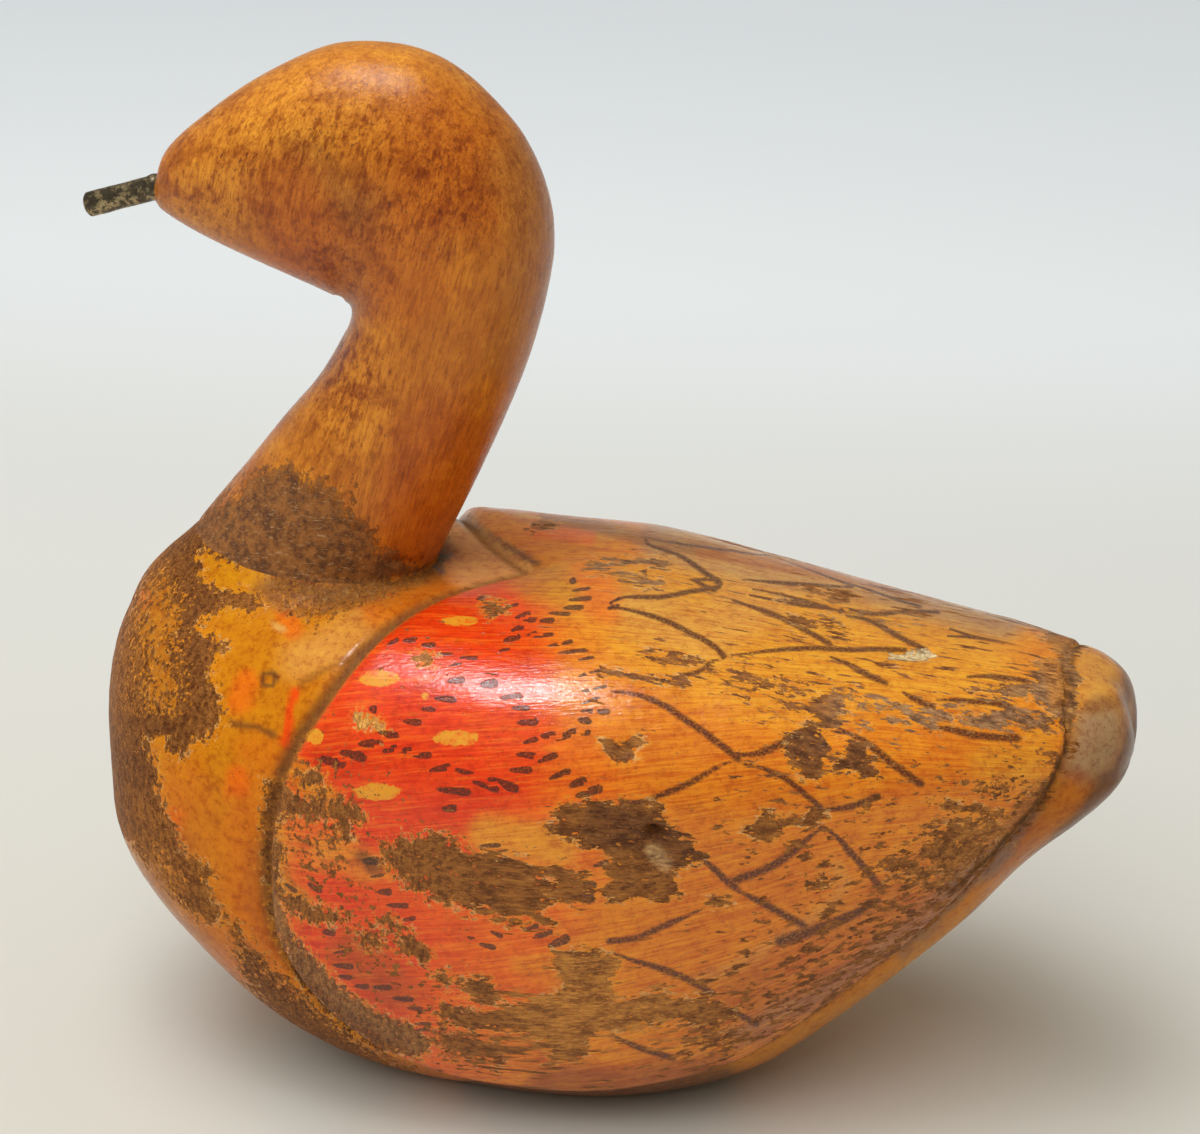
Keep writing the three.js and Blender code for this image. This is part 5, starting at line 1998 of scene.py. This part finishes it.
    def build(self) -> Object:
        """Builds the piece.

        Returns:
            The polished head and neck.
        """
        rows, s = self.surface()
        px = VIEW.pixels(rows.reshape(-1, 3))
        normal = grid_normals(rows, rows.mean(1, keepdims=True))
        hollow = sum(dent.cut(px) for dent in self.dents).reshape(rows.shape[:2])
        knife = self.knife_depth * layered_noise(rows, 12.0, 71)
        knife += self.grain_depth * noise(rows * (1, 1, 0.4), 2.0, 77)
        rows = rows + normal * (knife * smooth_step(s, 0, 1)[:, None] - hollow)[..., None]
        before, after = self.ends(rows)
        closed = ClosedGrid(np.concatenate([before, rows, after]), rows[0].mean(0) + self.bulge(),
                            after[-1].mean(0))
        points, mesh = closed.points, closed.mesh("head_and_neck")
        px, warped = VIEW.pixels(points), wavering_pixels(points, 11.0, (81, 91), 12)
        store(mesh, "paint", lay_washes(warped, Paint.POLISHED.value, self.washes))
        filler = outline_distance(warped, self.filler) * VIEW.mm_per_pixel
        speckling = 0.28 + 0.6 * bump(line_distance(px, self.speckled), self.speckled_reach)
        speckling += 0.3 * layered_noise(points, 20.0, 61)
        store(mesh, "masks", filler, speckling, 0 * filler)
        along = unit(np.array(self.grain_way))
        store(mesh, "flow", points @ np.stack([along, (0, 1, 0), np.cross(along, (0, 1, 0))], 1))
        material = PolishedWood().make()
        return show("polished_head_and_neck", mesh, material, "head_and_neck")


@dataclass
class BillPin:
    """The iron pin in the bill's place, by the middles of its free end and its hole's mouth."""

    tip: Point2 = (-5.5, 210.5)
    mouth: Point2 = (12.0, 216.0)
    radius: float = 3.0
    chamfer: float = 0.7
    set_in: float = 15.0
    residue: float = 0.3
    residue_middle: float = -0.2
    residue_reach: float = 1.6
    pitting: float = 0.10
    rows: int = 120
    columns: int = 72

    def build(self) -> Object:
        """Builds the piece: a rod turned about its axis, with a collar of residue at the wood.

        Returns:
            The pin.
        """
        tip, mouth = on_middle(self.tip), on_middle(self.mouth)
        free = np.linalg.norm(mouth - tip)
        way = (mouth - tip) / free
        down = np.linspace(0.02, free + self.set_in, self.rows)
        radius = self.radius - self.chamfer * (1 - np.clip(down / self.chamfer, 0, 1)) ** 1.5
        radius += self.residue * bump(down - free - self.residue_middle, self.residue_reach)
        turn = np.linspace(0, 2 * math.pi, self.columns, endpoint=False)[:, None]
        ring = np.cos(turn) * np.cross(way, (0, 1, 0)) + np.sin(turn) * np.array([0, 1.0, 0])
        rows = tip + down[:, None, None] * way + radius[:, None, None] * ring
        rows += ring * (self.pitting * layered_noise(rows, 3.5, 5))[..., None]
        closed = ClosedGrid(rows, tip, tip + way * (free + self.set_in))
        return show("iron_bill_pin", closed.mesh("bill_pin"), OldIron().make(), "bill_pin")


@dataclass(frozen=True)
class Studio:
    """A pale floor graded in painted light, a lamp overhead and soft light all round."""

    floor_near: Colour = (0.72, 0.695, 0.62)
    # The floor's tones are painted light: it grows lighter and cooler towards the back.
    # Each further tone of the floor: where it begins and is full, in metres behind, and its colour.
    floor_light_tones: tuple[tuple[float, float, Colour], ...] = (
        (-0.1, 0.5, (0.79, 0.80, 0.78)), (0.35, 0.65, (0.91, 0.95, 0.98)), (0.65, 1.1, (0.89, 0.94, 1.0)),
    )
    floor_roughness: float = 0.7
    floor_reach: float = 6.0
    glint_at: Point3 = (-0.155, -0.09, 1.3)
    glint_size: float = 0.18
    glint_power: float = 7.0
    lamp_at: Point3 = (-0.33, -0.12, 1.3)
    lamp_size: float = 0.85
    lamp_power: float = 8.4
    lamp_colour: Colour = (0.95, 0.97, 1.0)
    window_from: Point3 = (-0.14, -0.56, 0.82)
    window_degrees: float = 50.0
    window_strength: float = 1.50
    window_colour: Colour = (0.92, 0.96, 1.0)
    fill_colour: Colour = (1.0, 0.92, 0.74)
    fill_strength: float = 0.29

    def lamp(self, name: str, size: float, power: float, at: Point3) -> Object:
        """Hangs a square lamp, facing down.

        Args:
            name: The lamp's name.
            size: Its side, in metres.
            power: Its power, in watts.
            at: Where it hangs, in metres.

        Returns:
            The object that holds it.
        """
        lamp = bpy.data.lights.new(name, "AREA")
        lamp.size, lamp.energy, lamp.color = size, power, self.lamp_colour
        holder = add_object(name, lamp)
        holder.location = at
        return holder

    def build(self) -> None:
        """Sets up the floor, the lamps and the world."""
        mesh = bpy.data.meshes.new("floor")
        r = self.floor_reach
        mesh.from_pydata([(-r, -r, 0), (r, -r, 0), (r, r, 0), (-r, r, 0)], [], [(0, 1, 2, 3)])
        floor = add_object("floor", mesh)
        material, s, shader = new_material("pale_floor")
        behind = s.split(s.node("TexCoord").outputs["Object"])[1]
        colour = self.floor_near
        for begins, full, tone in self.floor_light_tones:
            colour = s.mix(s.remap(behind, begins, full), colour, tone)
        s.feed(shader.inputs["Base Color"], colour)
        s.feed(shader.inputs["Roughness"], self.floor_roughness)
        mesh.materials.append(material)
        floor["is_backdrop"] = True
        self.lamp("glint_lamp", self.glint_size, self.glint_power, self.glint_at).visible_diffuse = False
        self.lamp("overhead_lamp", self.lamp_size, self.lamp_power, self.lamp_at).visible_glossy = False
        window = bpy.data.lights.new("soft_window", "SUN")
        window.angle = math.radians(self.window_degrees)
        window.energy, window.color = self.window_strength, self.window_colour
        holder = add_object("soft_window", window)
        holder.rotation_mode = "QUATERNION"
        holder.rotation_quaternion = Vector(self.window_from).to_track_quat("Z", "Y")
        holder.visible_glossy = False
        world = bpy.data.worlds.new("soft_surround")
        world.use_nodes = True
        background = world.node_tree.nodes["Background"]
        background.inputs["Color"].default_value = (*self.fill_colour, 1)
        background.inputs["Strength"].default_value = self.fill_strength
        bpy.context.scene.world = world
        bpy.context.scene.view_settings.view_transform = "Standard"


def corners() -> list[list[float]]:
    """The shown object's lowest and highest corner, as plain lists."""
    return [list(corner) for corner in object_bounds()]


def main() -> None:
    """Builds the camera, the studio and the duck."""
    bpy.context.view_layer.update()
    VIEW.place()
    Studio().build()
    Body().build()
    HeadAndNeck().build()
    BillPin().build()


if __name__ == "__main__":
    logging.basicConfig(level=logging.INFO, format="%(name)s %(message)s")
    main()
